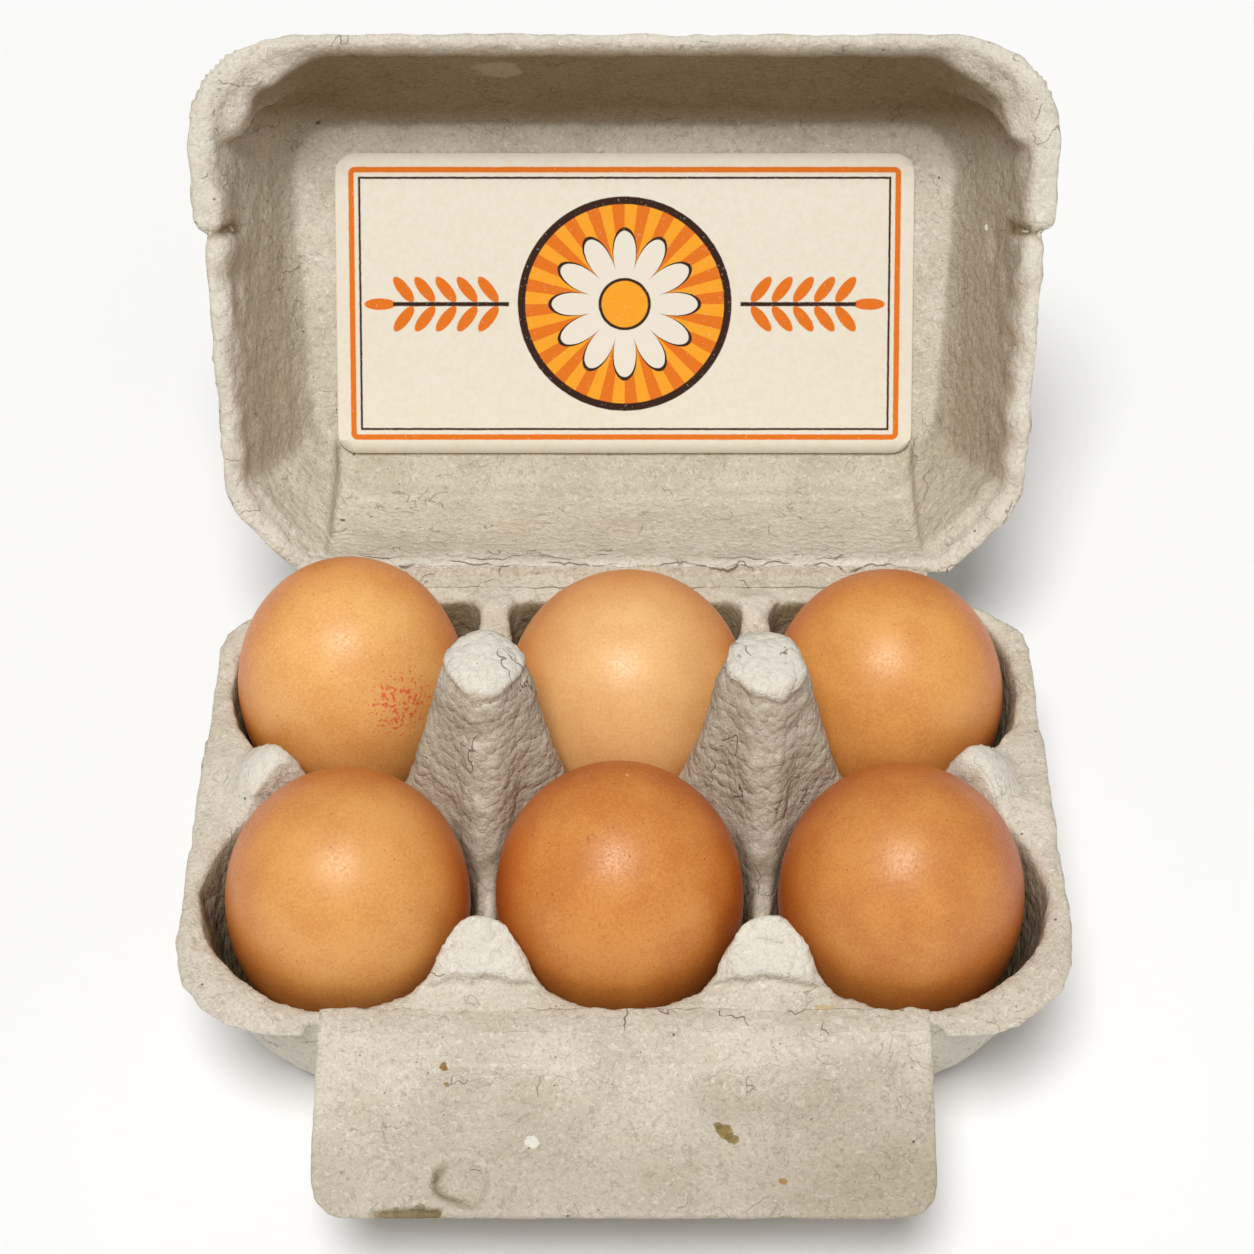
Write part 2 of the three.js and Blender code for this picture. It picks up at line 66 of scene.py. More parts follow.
# The lid lies in its own axes on its back, hinge on X and opening up; the flap lies with its crease on X
LID_OPEN = -math.radians(joint("lid_hinge")["range_deg"][0])
FLAP_DROP = -math.radians(joint("flap_hinge")["range_deg"][0]) - math.pi / 2
LID_AXIS = Vector(joint("lid_hinge")["pos_m"])
FLAP_AXIS = Vector(joint("flap_hinge")["pos_m"])
LID_PLACE = Matrix.Translation(LID_AXIS) @ Matrix.Rotation(LID_OPEN, 4, "X")
FLAP_PLACE = Matrix.Translation(FLAP_AXIS) @ Matrix.Rotation(FLAP_DROP, 4, "X")
IN_PLACE = Matrix.Identity(4)

# Tray: how far its cups are apart along a row and off the middle line, its rim, its middle line, its posts
CUP_X = 49.5 * MM
CUP_Y = 24.4 * MM
RIM_Z = FLAP_AXIS.z
TRAY_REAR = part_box("base_tray")[1].y
ROWS_Y = TRAY_REAR - 51.0 * MM
POST_X = 24.75 * MM

# Label and lid
LABEL_SIZE = Vector((114.6, 59.4)) * MM
LABEL_MID_T = 50.4 * MM
LID_DEPTH = 33 * MM

# Evenness of the pulp's mesh
TRAY_GRAIN = 0.92 * MM
LID_GRAIN = 0.92 * MM
FLAP_GRAIN = 0.5 * MM


def share(value, zero, one):
    """How far `value` has come from `zero` to `one`, eased, from 0 to 1."""
    f = min(1.0, max(0.0, (value - zero) / (one - zero)))
    return f * f * (3 - 2 * f)


def hump(value, middle, width):
    """1 at the middle, falling off over the width."""
    return math.exp(-((value - middle) / width) ** 2)


def wobble(point, size, seed=0):
    """A smooth random value, about -1 to 1, that changes over `size`."""
    return noise.noise(point / size + Vector((7.3, 3.1, 5.7)) * seed)


def crumple(point, size, seed=0):
    """A smooth random vector that changes over `size`."""
    return noise.noise_vector(point / size + Vector((4.9, 8.3, 2.1)) * seed)


def new_piece(name, bm):
    """Writes a bmesh to a smooth-shaded object of its own."""
    mesh = bpy.data.meshes.new(name)
    bm.to_mesh(mesh)
    bm.free()
    mesh.shade_smooth()
    piece = bpy.data.objects.new(name, mesh)
    bpy.context.scene.collection.objects.link(piece)
    return piece


# Pulp pieces

def pulp_blank(node, grain, place):
    """The node's solid with an even fine mesh, laid in its own axes."""
    mesh = frame["nodes"][node].data.copy()
    mesh.transform(place.inverted())
    bm = bmesh.new()
    bm.from_mesh(mesh)
    bmesh.ops.remove_doubles(bm, verts=bm.verts, dist=0.002 * MM)
    bm.to_mesh(mesh)
    bm.free()
    blank = bpy.data.objects.new("blank", mesh)
    bpy.context.scene.collection.objects.link(blank)
    remesh = blank.modifiers.new("even", "REMESH")
    remesh.mode = "VOXEL"
    remesh.voxel_size = grain
    fine = bpy.data.meshes.new_from_object(blank.evaluated_get(bpy.context.evaluated_depsgraph_get()))
    bpy.data.objects.remove(blank)
    bm = bmesh.new()
    bm.from_mesh(fine)
    return bm


def soften(bm, rounds, most):
    """Rounds off the facets, moving no point further than `most`."""
    was = [vert.co.copy() for vert in bm.verts]
    for _ in range(rounds):
        bmesh.ops.smooth_vert(
            bm, verts=bm.verts, factor=0.5, use_axis_x=True, use_axis_y=True, use_axis_z=True
        )
    for vert, old in zip(bm.verts, was):
        move = vert.co - old
        if move.length > most:
            vert.co = old + move * (most / move.length)


def press(bm, relief):
    """Moves every point by what `relief` gives for its place and normal."""
    bm.normal_update()
    moves = [relief(vert.co, vert.normal) for vert in bm.verts]
    for vert, move in zip(bm.verts, moves):
        vert.co += move


def pulp_relief(p, n, calm, fray=1.0):
    """Lumps along the surface, and a crumpled drift that frays the edges."""
    lumps = 0.34 * wobble(p, 8 * MM) + 0.24 * wobble(p, 3.2 * MM, 1) + 0.12 * wobble(p, 1.9 * MM, 2)
    drift = 0.24 * crumple(p, 5.5 * MM) + 0.14 * crumple(p, 2.2 * MM, 1)
    return (n * lumps + drift * fray) * (calm * MM)


def store(piece, name, value):
    """Keeps a value at each point for the material, from the point's place and normal."""
    values = piece.data.attributes.new(name, "FLOAT", "POINT")
    for vert in piece.data.vertices:
        values.data[vert.index].value = value(vert.co, vert.normal)


def finish_pulp(bm, name, node, body, place, painted_shading, coarse, material):
    """Makes a visible piece of pulp in its place, with the values that its material reads."""
    piece = new_piece(name, bm)
    store(piece, "painted_shading", painted_shading)
    store(piece, "coarse", coarse)
    piece.data.transform(place)
    piece.data.materials.append(material)
    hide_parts(node)
    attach(piece, body)


# Posts: end of the caps, start of the end posts, end of the front slabs, middle of the rear lobes
POST_CAP_Z = 65.6 * MM
END_POSTS_FROM = 34 * MM
SLAB_END_Y = ROWS_Y - 45.6 * MM
LOBE_Y = ROWS_Y + 43.5 * MM


def cap_relief(p, n):
    """The crumbly cap of a tall post, which stands out over the post's sides."""
    rise = (p.z - POST_CAP_Z) / MM + 1.8 * wobble(p, 4.5 * MM, 3)
    ledge = 0.8 * share(rise, -0.4, 0.5) - 0.1 * hump(rise, -1.0, 0.8) + 0.35
    return Vector((n.x, n.y, 0.15 * n.z)) * (ledge * share(p.z, 58 * MM, 61 * MM) * MM)


def slab_relief(p, beside_post):
    """The crumbly slab of a front end post, with a step at its lower end."""
    past = (SLAB_END_Y - p.y) / MM + 0.7 * wobble(p, 3 * MM, 4)
    crumb = share(past, -11, -8) * share(past, -2, -4)
    ledge = 0.8 * share(past, -4.5, -1.2) * share(past, 0.25, -0.25) - 1.1 * hump(past, 1.0, 0.8)
    ledge += 0.9 * crumb * wobble(p, 2.6 * MM, 16)
    return Vector((0, -0.8, 0.6)) * (ledge * share(beside_post, 10 * MM, 8 * MM) * MM)


def tray_relief(p, n):
    """Pulp all over, calm where the hinges are, with more on the posts, and feet that keep to the table."""
    near_lid = share(p.y, TRAY_REAR - 3 * MM, TRAY_REAR - 1 * MM) * (abs(p.x) < 60 * MM)
    near_flap = share(p.y, FLAP_AXIS.y + 3 * MM, FLAP_AXIS.y + 1 * MM) * (abs(p.x) < 54 * MM)
    calm = 1 - 0.85 * max(near_lid, near_flap)
    move = pulp_relief(p, n, calm, 0.75)
    if p.z > 58 * MM:
        move += cap_relief(p, n)
    beside_post = abs(abs(p.x) - POST_X)
    off_middle = abs(p.y - ROWS_Y)
    if n.z > -0.2 and p.z > 34 * MM and beside_post < 14 * MM and off_middle > END_POSTS_FROM:
        aside = math.copysign(1, abs(p.x) - POST_X) * math.copysign(1, p.x)
        above_rim = share(p.z, 35 * MM, 38.5 * MM) * share(off_middle, END_POSTS_FROM, 38 * MM)
        move.x += aside * 1.5 * MM * hump(beside_post, 5.5 * MM, 3.4 * MM) * above_rim
        if p.y < ROWS_Y:
            move += slab_relief(p, beside_post)
        else:
            lobe = hump(p.y, LOBE_Y, 3.5 * MM) * hump(beside_post, 0, 5.5 * MM)
            move.z += (1.1 + 1.4 * wobble(p, 2.6 * MM, 14)) * lobe * MM
    move.z = max(move.z, -p.z)
    return move


def cup_outside(p, n):
    """Whether a point is on a cup's outer face, so that its normal leads away from the cup's middle."""
    column = max(-1, min(1, round(p.x / CUP_X)))
    row_y = ROWS_Y + math.copysign(CUP_Y, p.y - ROWS_Y)
    away = p - Vector((column * CUP_X, row_y, 0.7 * RIM_Z))
    return p.z < RIM_Z - 0.8 * MM and n.dot(away) > 0


def tray_painted_shading(p, n):
    """Painted shading: brown painted shade on the walls of the cups from just under the rim, a little on
    the posts' sides and more in the nooks by the rear lobes; painted light on the tips; the cups' outsides
    are painted paler.
    """
    outer = 1.0 if cup_outside(p, n) else 1 - share(n.z, -0.7, -0.4)
    steep = 1 - share(n.z, 0.45, 0.8)
    below_rim = share(p.z, RIM_Z + 0.3 * MM, RIM_Z - 2.2 * MM)
    deeper = 0.72 + 0.4 * share(p.z, RIM_Z - 3 * MM, RIM_Z - 18 * MM)
    wall = below_rim * deeper * max(steep, 0.45)
    from_middle = Vector((abs(p.x) - POST_X, p.y - ROWS_Y)).length
    post_side = 0.3 * steep * share(p.z, POST_CAP_Z + 0.4 * MM, POST_CAP_Z - 0.8 * MM)
    post_side *= share(from_middle, 26 * MM, 18 * MM)
    # Painted light on the upward-facing tips just above the rim
    tip = share(n.z, 0.35, 0.7) * share(p.z, RIM_Z - 0.5 * MM, RIM_Z + 5 * MM)
    inner = max(wall, post_side * (p.z > RIM_Z)) - 0.7 * tip
    # More painted shade in the nooks beside the rear lobes
    by_lobe = share(p.y, ROWS_Y + 34 * MM, ROWS_Y + 39 * MM) * hump(abs(abs(p.x) - POST_X), 8 * MM, 5 * MM)
    inner += 0.5 * by_lobe * steep * share(p.z, RIM_Z + 2 * MM, RIM_Z - 2 * MM)
    return inner * (1 - outer) - 0.45 * outer


def tray_coarse(p, n):
    """How pebbly the pulp is: fully on the posts, less in the cups, not at all under the tray."""
    on_post = share(p.z, RIM_Z + 0.5 * MM, RIM_Z + 4 * MM) * share(abs(p.x), 54 * MM, 48 * MM)
    in_cup = share(p.z, RIM_Z - 1 * MM, RIM_Z - 6 * MM)
    return max(0.35, on_post, 0.7 * in_cup) * share(n.z, -1.0, -0.2)


# The lid's corner pads, by the hinge, the gussets of its free corners, a dent and the step in its rim
PAD_EDGE_X = 57.8 * MM
PAD_RISE = 1.9
# Where the shut lid comes closest to an egg
EGG_TOUCH = Vector((-64, 12.5, -9.5)) * MM
GUSSET_X = 59 * MM
GUSSET_T = 84 * MM
GUSSET_RISE = 3.0
LID_DENT = Vector((70.8, 62.8, -17.5)) * MM
LIP_STEP_T = 65.0 * MM


def lid_side(depth):
    """Half the width inside the lid, near the hinge, at a depth."""
    return (73.4 - 0.33 * depth / MM) * MM


def pad_share(p):
    """Where the corner pads by the hinge stand out."""
    depth = -p.z
    clear_of_side = share(lid_side(depth) + 0.05 * p.y - abs(p.x), 0.2 * MM, 2.0 * MM)
    past_edge = share(abs(p.x), PAD_EDGE_X - 0.8 * MM, PAD_EDGE_X + 1.2 * MM)
    below_rim = share(depth, 3.2 * MM, 6.5 * MM)
    return clear_of_side * past_edge * below_rim * share(p.y, 27 * MM, 19 * MM)


def gusset_corner(p):
    """Where the crumpled web of a free corner is, and how deep its lower edge is there."""
    by_side = share(abs(p.x), GUSSET_X - 4 * MM, GUSSET_X + 9 * MM)
    by_end = share(p.y, GUSSET_T - 3 * MM, GUSSET_T + 3 * MM)
    return by_side * by_end, 8 * MM + 0.8 * (74 * MM - abs(p.x)) + 1.2 * MM * wobble(p, 6 * MM, 17)


def gusset_share(p):
    """Where the webs of the free corners stand out."""
    in_corner, edge_depth = gusset_corner(p)
    above_edge = share(-p.z, edge_depth + 0.6 * MM, edge_depth - 0.8 * MM)
    return above_edge * in_corner * share(-p.z, 1.5 * MM, 4.5 * MM)


def gusset_shade(p):
    """The dark line below each web's lower edge."""
    in_corner, edge_depth = gusset_corner(p)
    return in_corner * hump(-p.z, edge_depth + 1.6 * MM, 1.6 * MM)


def faces_inside(p, n):
    """Whether a point is on the lid's inner face and not on its outer one."""
    to_middle = Vector((-p.x, LABEL_MID_T - p.y, 0)).normalized()
    return n.z > 0.55 or (n.z > -0.35 and n.dot(to_middle) > 0.25)


def lid_relief(p, n):
    """Pulp that is calm by the hinge and under the label, with crumpled sides and corners inside."""
    near_hinge = share(p.y, 4 * MM, 1.5 * MM) * (abs(p.x) < 64 * MM)
    on_roof = share(-p.z, LID_DEPTH - 1 * MM, LID_DEPTH - 0.2 * MM)
    past_label = max(abs(p.x) - LABEL_SIZE.x / 2, abs(p.y - LABEL_MID_T) - LABEL_SIZE.y / 2)
    under_label = on_roof * share(past_label, 2 * MM, 0.5 * MM)
    rim = share(p.z, -3.5 * MM, -1 * MM)
    calm = (0.62 + 0.4 * rim) * (1 - 0.6 * near_hinge) * (1 - 0.9 * under_label)
    move = pulp_relief(p, n, calm, 0.6)
    move -= n * (1.3 * lip_crevice(p) * MM)
    if faces_inside(p, n):
        crumpled = share(abs(p.x), 66 * MM, 70 * MM) * share(p.z, -18 * MM, -6 * MM)
        clear_of_egg = 1 - hump((p - EGG_TOUCH).length, 0, 8 * MM)
        move += n * (1.15 * crumpled * wobble(p, 5.5 * MM, 21) * clear_of_egg * MM)
        aside = math.copysign(1, p.x)
        groove = hump(abs(p.x), PAD_EDGE_X - 1.4 * MM, 1.1 * MM) * share(p.y, 26 * MM, 18 * MM)
        pad_rise = PAD_RISE * pad_share(p) * (0.2 + 0.8 * clear_of_egg)
        move += Vector((-0.55 * aside, 0.5, 0.55)) * (pad_rise * MM)
        move -= n * (0.45 * groove * share(-p.z, 4 * MM, 9 * MM) * MM)
        move += Vector((-0.7 * aside, -0.7, 0)) * (GUSSET_RISE * gusset_share(p) * MM)
        along_dent = (p.y - LID_DENT.y) * 0.5
        off_dent = Vector((p.x - LID_DENT.x, along_dent, p.z - LID_DENT.z)).length
        move -= n * (1.2 * hump(off_dent, 0, 2.6 * MM) * MM)
    return move


def lip_crevice(p):
    """The crease across each side of the rim, where the front half steps out: pressed in, and darkened with
    painted shade.
    """
    slanted = p.y - LIP_STEP_T + 0.25 * (abs(p.x) - 80 * MM) + 0.5 * MM * wobble(p, 3 * MM, 15)
    on_rim = share(abs(p.x), 69 * MM, 72 * MM) * share(p.z, -14 * MM, -8 * MM)
    return hump(slanted, 0, 1.1 * MM) * on_rim


def lid_painted_shading(p, n):
    """Painted shading inside the lid: brown painted shade on the walls, most at its free end and least by
    the hinge, a little less on the left, and low on the roof by the hinge; the rim is painted paler.
    """
    if not faces_inside(p, n):
        return 0.0
    wall = 1 - share(n.z, 0.72, 0.97)
    depth = share(-p.z, 1.5 * MM, 6 * MM)
    by_hinge = share(p.y, 22 * MM, 12 * MM)
    free_end = share(p.y, 82 * MM, 92 * MM)
    left = share(-p.x, 50 * MM, 60 * MM) * (1 - free_end)
    amount = (0.52 - 0.16 * left + 0.75 * free_end - 0.47 * by_hinge) * wall * depth
    amount += 0.16 * share(-p.z, LID_DEPTH - 3 * MM, LID_DEPTH - 1 * MM) * share(p.y, 32 * MM, 26 * MM)
    pale_rim = 0.35 * share(p.z, -2.5 * MM, -0.8 * MM)
    right_pad = pad_share(p) * share(p.x, 50 * MM, 60 * MM)
    # Painted shade in the rim's crease, under the webs' lower edges and on the right pad; the webs
    # themselves are painted a little paler
    darker = 1.1 * lip_crevice(p) + 0.7 * gusset_shade(p) - 0.25 * gusset_share(p) + 0.2 * right_pad
    return min(1.25, amount) * (1 - 0.6 * pad_share(p)) - pale_rim + darker


def lid_coarse(p, n):
    rim = share(p.z, -5 * MM, -1.5 * MM)
    by_hinge = share(p.y, 12 * MM, 5 * MM)
    return max(0.3, 0.7 * rim, by_hinge, 0.7 * pad_share(p), 0.3 + 0.3 * (1 - share(n.z, 0.72, 0.97)))


# Marks on the lock flap, in its own axes
DIMPLE = Vector((-27.7, -28.9, 0)) * MM
DIMPLE_RADIUS = 4.6
TEAR_FROM_X = -43.0 * MM
TEAR_TO_X = -31.0 * MM


def flap_relief(p, n):
    """Pulp with a raised line above the hollows, a ridge beside the right one, a dimple and a torn edge."""
    near_crease = share(-p.y, 3.5 * MM, 1 * MM)
    move = pulp_relief(p, n, 0.55 * (1 - 0.85 * near_crease))
    if n.z > 0.3:
        off = dimple_distance(p)
        floor = 0.35 * wobble(p, 2.5 * MM, 11)
        dimple = share(off, DIMPLE_RADIUS, DIMPLE_RADIUS - 1.6) * (1.15 + floor)
        lift = 0.3 * hump(off, DIMPLE_RADIUS + 0.7, 1.0)
        move.z += (lift - dimple) * MM
        bent = p.x - 0.8 * MM * wobble(p, 5 * MM, 6)
        ridge = hump(bent, 24.8 * MM, 0.8 * MM) - 0.6 * hump(bent, 26.6 * MM, 0.9 * MM)
        move.z += 0.45 * ridge * share(-p.y, 10 * MM, 13 * MM) * share(-p.y, 27 * MM, 24 * MM) * MM
        shoulder = hump(-p.y, 8.3 * MM + 0.5 * MM * wobble(p, 9 * MM, 12), 0.7 * MM)
        beside = share(abs(abs(p.x) - POST_X), 19 * MM, 15 * MM)
        move.z += 0.28 * shoulder * beside * MM
    move.z -= 1.5 * torn_share(p) * max(0.0, n.z) * MM
    return move


def dimple_distance(p):
    """Distance from the dimple's middle, ragged, in millimetres."""
    aside = Vector(((p.x - DIMPLE.x) / 1.2, p.y - DIMPLE.y, 0))
    return aside.length / MM + 1.3 * wobble(p, 4.5 * MM, 5)


def torn_share(p):
    """Where the free edge is torn down, tapering to the left."""
    tapering = share(p.x, TEAR_FROM_X - 2 * MM, TEAR_FROM_X + 5 * MM)
    along = tapering * share(p.x, TEAR_TO_X + 0.6 * MM, TEAR_TO_X)
    reach = 33.0 * MM + 0.5 * MM * wobble(p, 2.5 * MM, 13)
    return along * share(-p.y, reach, reach + 0.6 * MM)


def flap_painted_shading(p, n):
    """Painted shade on the flap: darker to the right and lower down, underneath, in its dimple and along
    its torn edge; painted lighter by the crease and to the left.
    """
    if n.z < 0:
        return 0.15
    off = dimple_distance(p)
    across = DIMPLE.x + 0.5 * DIMPLE.y
    left_wall = share(p.x + 0.5 * p.y, across + 2 * MM, across - 3 * MM)
    in_dimple = 0.75 * hump(off, DIMPLE_RADIUS - 0.9, 1.1) * left_wall + 0.22 * share(off, DIMPLE_RADIUS, 3)
    lower = 0.17 * share(-p.y, 9 * MM, 18 * MM) + 0.16 * share(-p.y, 18 * MM, 27 * MM)
    upper = 0.3 * share(-p.y, 9 * MM, 3 * MM)
    shade = lower - upper + 0.22 * share(p.x, 18 * MM, 42 * MM) - 0.1 * share(p.x, -18 * MM, -40 * MM)
    return max(shade + 0.2 * share(-p.z, 0.8 * MM, 3.2 * MM), in_dimple, 1.7 * torn_share(p))


def flap_coarse(p, n):
    return 0.3 + 0.35 * share(-p.z, 0.6 * MM, 2.6 * MM)


# The thin pulp of a crease: how far it reaches to each side, and how thick it is
CREASE_REACH = 2.3 * MM
CREASE_THICKNESS = 0.3 * MM


def crease_strip(name, axis, half_length, onto, past, material):
    """The thin pulp that bends where a lid or a flap hangs on the tray."""
    bm = bmesh.new()
    bmesh.ops.create_grid(bm, x_segments=150, y_segments=12, size=1)
    bmesh.ops.scale(bm, vec=(half_length, CREASE_REACH, 1), verts=bm.verts)
    middle = (onto + past).normalized()
    up = Vector((0, -middle.z, middle.y))
    if up.z < 0:
        up = -up
    for vert in bm.verts:
        fray = 1 + 0.25 * wobble(vert.co, 3 * MM, 7)
        along = past if vert.co.y > 0 else -onto
        lift = 0.05 * MM * (1 + wobble(vert.co, 1.5 * MM, 8)) * (1 - abs(vert.co.y) / CREASE_REACH)
        vert.co = axis + Vector((vert.co.x, 0, 0)) + along * (vert.co.y * fray) + up * lift
    bmesh.ops.solidify(bm, geom=bm.faces, thickness=CREASE_THICKNESS)
    bmesh.ops.recalc_face_normals(bm, faces=bm.faces)
    strip = new_piece(name, bm)
    strip.data.materials.append(material)
    # A little painted shade all over the crease
    store(strip, "painted_shading", lambda p, n: 0.12)
    store(strip, "coarse", lambda p, n: 0.9)
    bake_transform(strip)


# Eggs

EGG_BLUNTNESS = 0.12


def egg_piece(node, name, material):
    """A smooth egg on the node's own poles, with the node's own girth."""
    points = [v.co.copy() for v in frame["nodes"][node].data.vertices]
    foot = min(points, key=lambda p: p.z)
    top = max(points, key=lambda p: (p - foot).length)
    upward = (top - foot).normalized()
    length = (top - foot).length
    girth = max((p - foot - upward * (p - foot).dot(upward)).length for p in points)
    bm = bmesh.new()
    bmesh.ops.create_uvsphere(bm, u_segments=112, v_segments=72, radius=1)
    turn = Vector((0, 0, 1)).rotation_difference(upward).to_matrix()
    for vert in bm.verts:
        x, y, z = vert.co
        wide = girth / (1 + EGG_BLUNTNESS ** 2 / 2) * (1 + EGG_BLUNTNESS * z)
        shape = Vector((x * wide, y * wide, length / 2 * (1 + z)))
        bump = 0.12 * MM * wobble(shape + foot, 14 * MM)
        vert.co = foot + turn @ (shape + Vector((x, y, 0)) * bump)
    egg = new_piece(name, bm)
    egg.data.materials.append(material)
    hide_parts(node)
    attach(egg, "base")


# Label

LABEL_CORNER = 4 * MM
LABEL_THICKNESS = 0.3 * MM
LABEL_STEP = 3 * MM


def cut_across(bm, along, half):
    """Cuts every face by planes a step apart, so that the sheet can follow the pulp."""
    steps = int(half / LABEL_STEP)
    for i in range(-steps, steps + 1):
        everything = bm.verts[:] + bm.edges[:] + bm.faces[:]
        bmesh.ops.bisect_plane(bm, geom=everything, plane_co=along * (i * LABEL_STEP), plane_no=along)


def label_piece(material):
    points = [LID_PLACE.inverted() @ v.co for v in frame["nodes"]["label"].data.vertices]
    lift = max(p.z for p in points) - 0.05 * MM
    bm = bmesh.new()
    bmesh.ops.create_grid(bm, x_segments=1, y_segments=1, size=0.5)
    bmesh.ops.scale(bm, vec=(LABEL_SIZE.x, LABEL_SIZE.y, 1), verts=bm.verts)
    bmesh.ops.bevel(
        bm, geom=bm.verts[:], offset=LABEL_CORNER, offset_type="OFFSET", affect="VERTICES",
        segments=9, profile=0.5, material=-1,
    )
    cut_across(bm, Vector((1, 0, 0)), LABEL_SIZE.x / 2)
    cut_across(bm, Vector((0, 1, 0)), LABEL_SIZE.y / 2)
    for vert in bm.verts:
        vert.co.z = 0.1 * MM * wobble(vert.co, 16 * MM, 9) + 0.05 * MM * wobble(vert.co, 7 * MM, 10)
    bmesh.ops.recalc_face_normals(bm, faces=bm.faces)
    bmesh.ops.solidify(bm, geom=bm.faces, thickness=LABEL_THICKNESS)
    bmesh.ops.recalc_face_normals(bm, faces=bm.faces)
    bmesh.ops.translate(bm, vec=(0, LABEL_MID_T, lift), verts=bm.verts)
    bmesh.ops.transform(bm, matrix=LID_PLACE, verts=bm.verts)
    label = new_piece("label_sheet", bm)
    label.data.materials.append(material)
    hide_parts("label")
    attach(label, "lid")


# Shader nodes

def put(tree, socket, value):
    if isinstance(value, bpy.types.NodeSocket):
        tree.links.new(value, socket)
    else:
        socket.default_value = value


def maths(tree, operation, *values, clamp=False):
    node = tree.nodes.new("ShaderNodeMath")
    node.operation = operation
    node.use_clamp = clamp
    for socket, value in zip(node.inputs, values):
        put(tree, socket, value)
    return node.outputs[0]


def vector_maths(tree, operation, *values):
    node = tree.nodes.new("ShaderNodeVectorMath")
    node.operation = operation
    for socket, value in zip(node.inputs, values):
        put(tree, socket, value)
    scalar = operation in ("LENGTH", "DISTANCE", "DOT_PRODUCT")
    return node.outputs["Value" if scalar else "Vector"]


def scaled(tree, value, low, high, to_low=0.0, to_high=1.0):
    """`value` taken from one range to another, with eased ends."""
    node = tree.nodes.new("ShaderNodeMapRange")
    node.interpolation_type = "SMOOTHSTEP"
    for name, setting in (
        ("Value", value), ("From Min", low), ("From Max", high), ("To Min", to_low), ("To Max", to_high),
    ):
        put(tree, node.inputs[name], setting)
    return node.outputs["Result"]


def blend_colours(tree, factor, first, second, way="MIX"):
    node = tree.nodes.new("ShaderNodeMix")
    node.data_type = "RGBA"
    node.blend_type = way
    node.clamp_factor = True
    put(tree, node.inputs["Factor"], factor)
    put(tree, node.inputs["A"], first)
    put(tree, node.inputs["B"], second)
    return node.outputs["Result"]


def mottle(tree, position, size, detail=2.0, distortion=0.0):
    node = tree.nodes.new("ShaderNodeTexNoise")
    put(tree, node.inputs["Vector"], position)
    node.inputs["Scale"].default_value = 1 / size
    node.inputs["Detail"].default_value = detail
    node.inputs["Distortion"].default_value = distortion
    return node.outputs["Fac"]


def cells(tree, position, size):
    node = tree.nodes.new("ShaderNodeTexVoronoi")
    put(tree, node.inputs["Vector"], position)
    node.inputs["Scale"].default_value = 1 / size
    return node.outputs["Distance"], node.outputs["Color"]


def moved(tree, position, offset):
    return vector_maths(tree, "ADD", position, offset)


def contour(tree, value, width, level=0.5):
    """1 on the thin lines where a smooth texture has one level, and 0 off them."""
    off = maths(tree, "ABSOLUTE", maths(tree, "SUBTRACT", value, level))
    return scaled(tree, off, width, 0.0)


def rgb(red, green, blue):
    """A colour from screen values of 0 to 255, as the linear one that shaders take."""
    def linear(value):
        v = value / 255
        return v / 12.92 if v <= 0.04045 else ((v + 0.055) / 1.055) ** 2.4
    return (linear(red), linear(green), linear(blue), 1.0)


def new_group(name, inputs, outputs):
    tree = bpy.data.node_groups.new(name, "ShaderNodeTree")
    kinds = {"colour": "NodeSocketColor", "value": "NodeSocketFloat", "vector": "NodeSocketVector"}
    for label, kind in inputs:
        tree.interface.new_socket(label, in_out="INPUT", socket_type=kinds[kind])
    for label, kind in outputs:
        tree.interface.new_socket(label, in_out="OUTPUT", socket_type=kinds[kind])
    return tree, tree.nodes.new("NodeGroupInput"), tree.nodes.new("NodeGroupOutput")


def curly_fibres(tree, position, size, width, seed, amount):
    """Short curled lines, as pieces of the level lines of a twisted noise."""
    spot = moved(tree, position, tuple(0.31 * seed * f for f in (1, 2, 3)))
    lines = contour(tree, mottle(tree, spot, size, 1.0, 0.8), width)
    pieces = scaled(tree, mottle(tree, spot, 0.7 * size, 0.0), 0.62 - amount, 0.7 - amount)
    return maths(tree, "MULTIPLY", lines, pieces)


def flecks(tree, position, size, radius, kept):
    """Dots a few to the square centimetre: the share `kept` of a scatter's cells."""
    distance, colour = cells(tree, position, size)
    split = tree.nodes.new("ShaderNodeSeparateColor")
    put(tree, split.inputs["Color"], colour)
    dot = scaled(tree, distance, radius / size, 0.6 * radius / size)
    return maths(tree, "MULTIPLY", dot, scaled(tree, split.outputs["Red"], kept + 0.01, kept - 0.01))


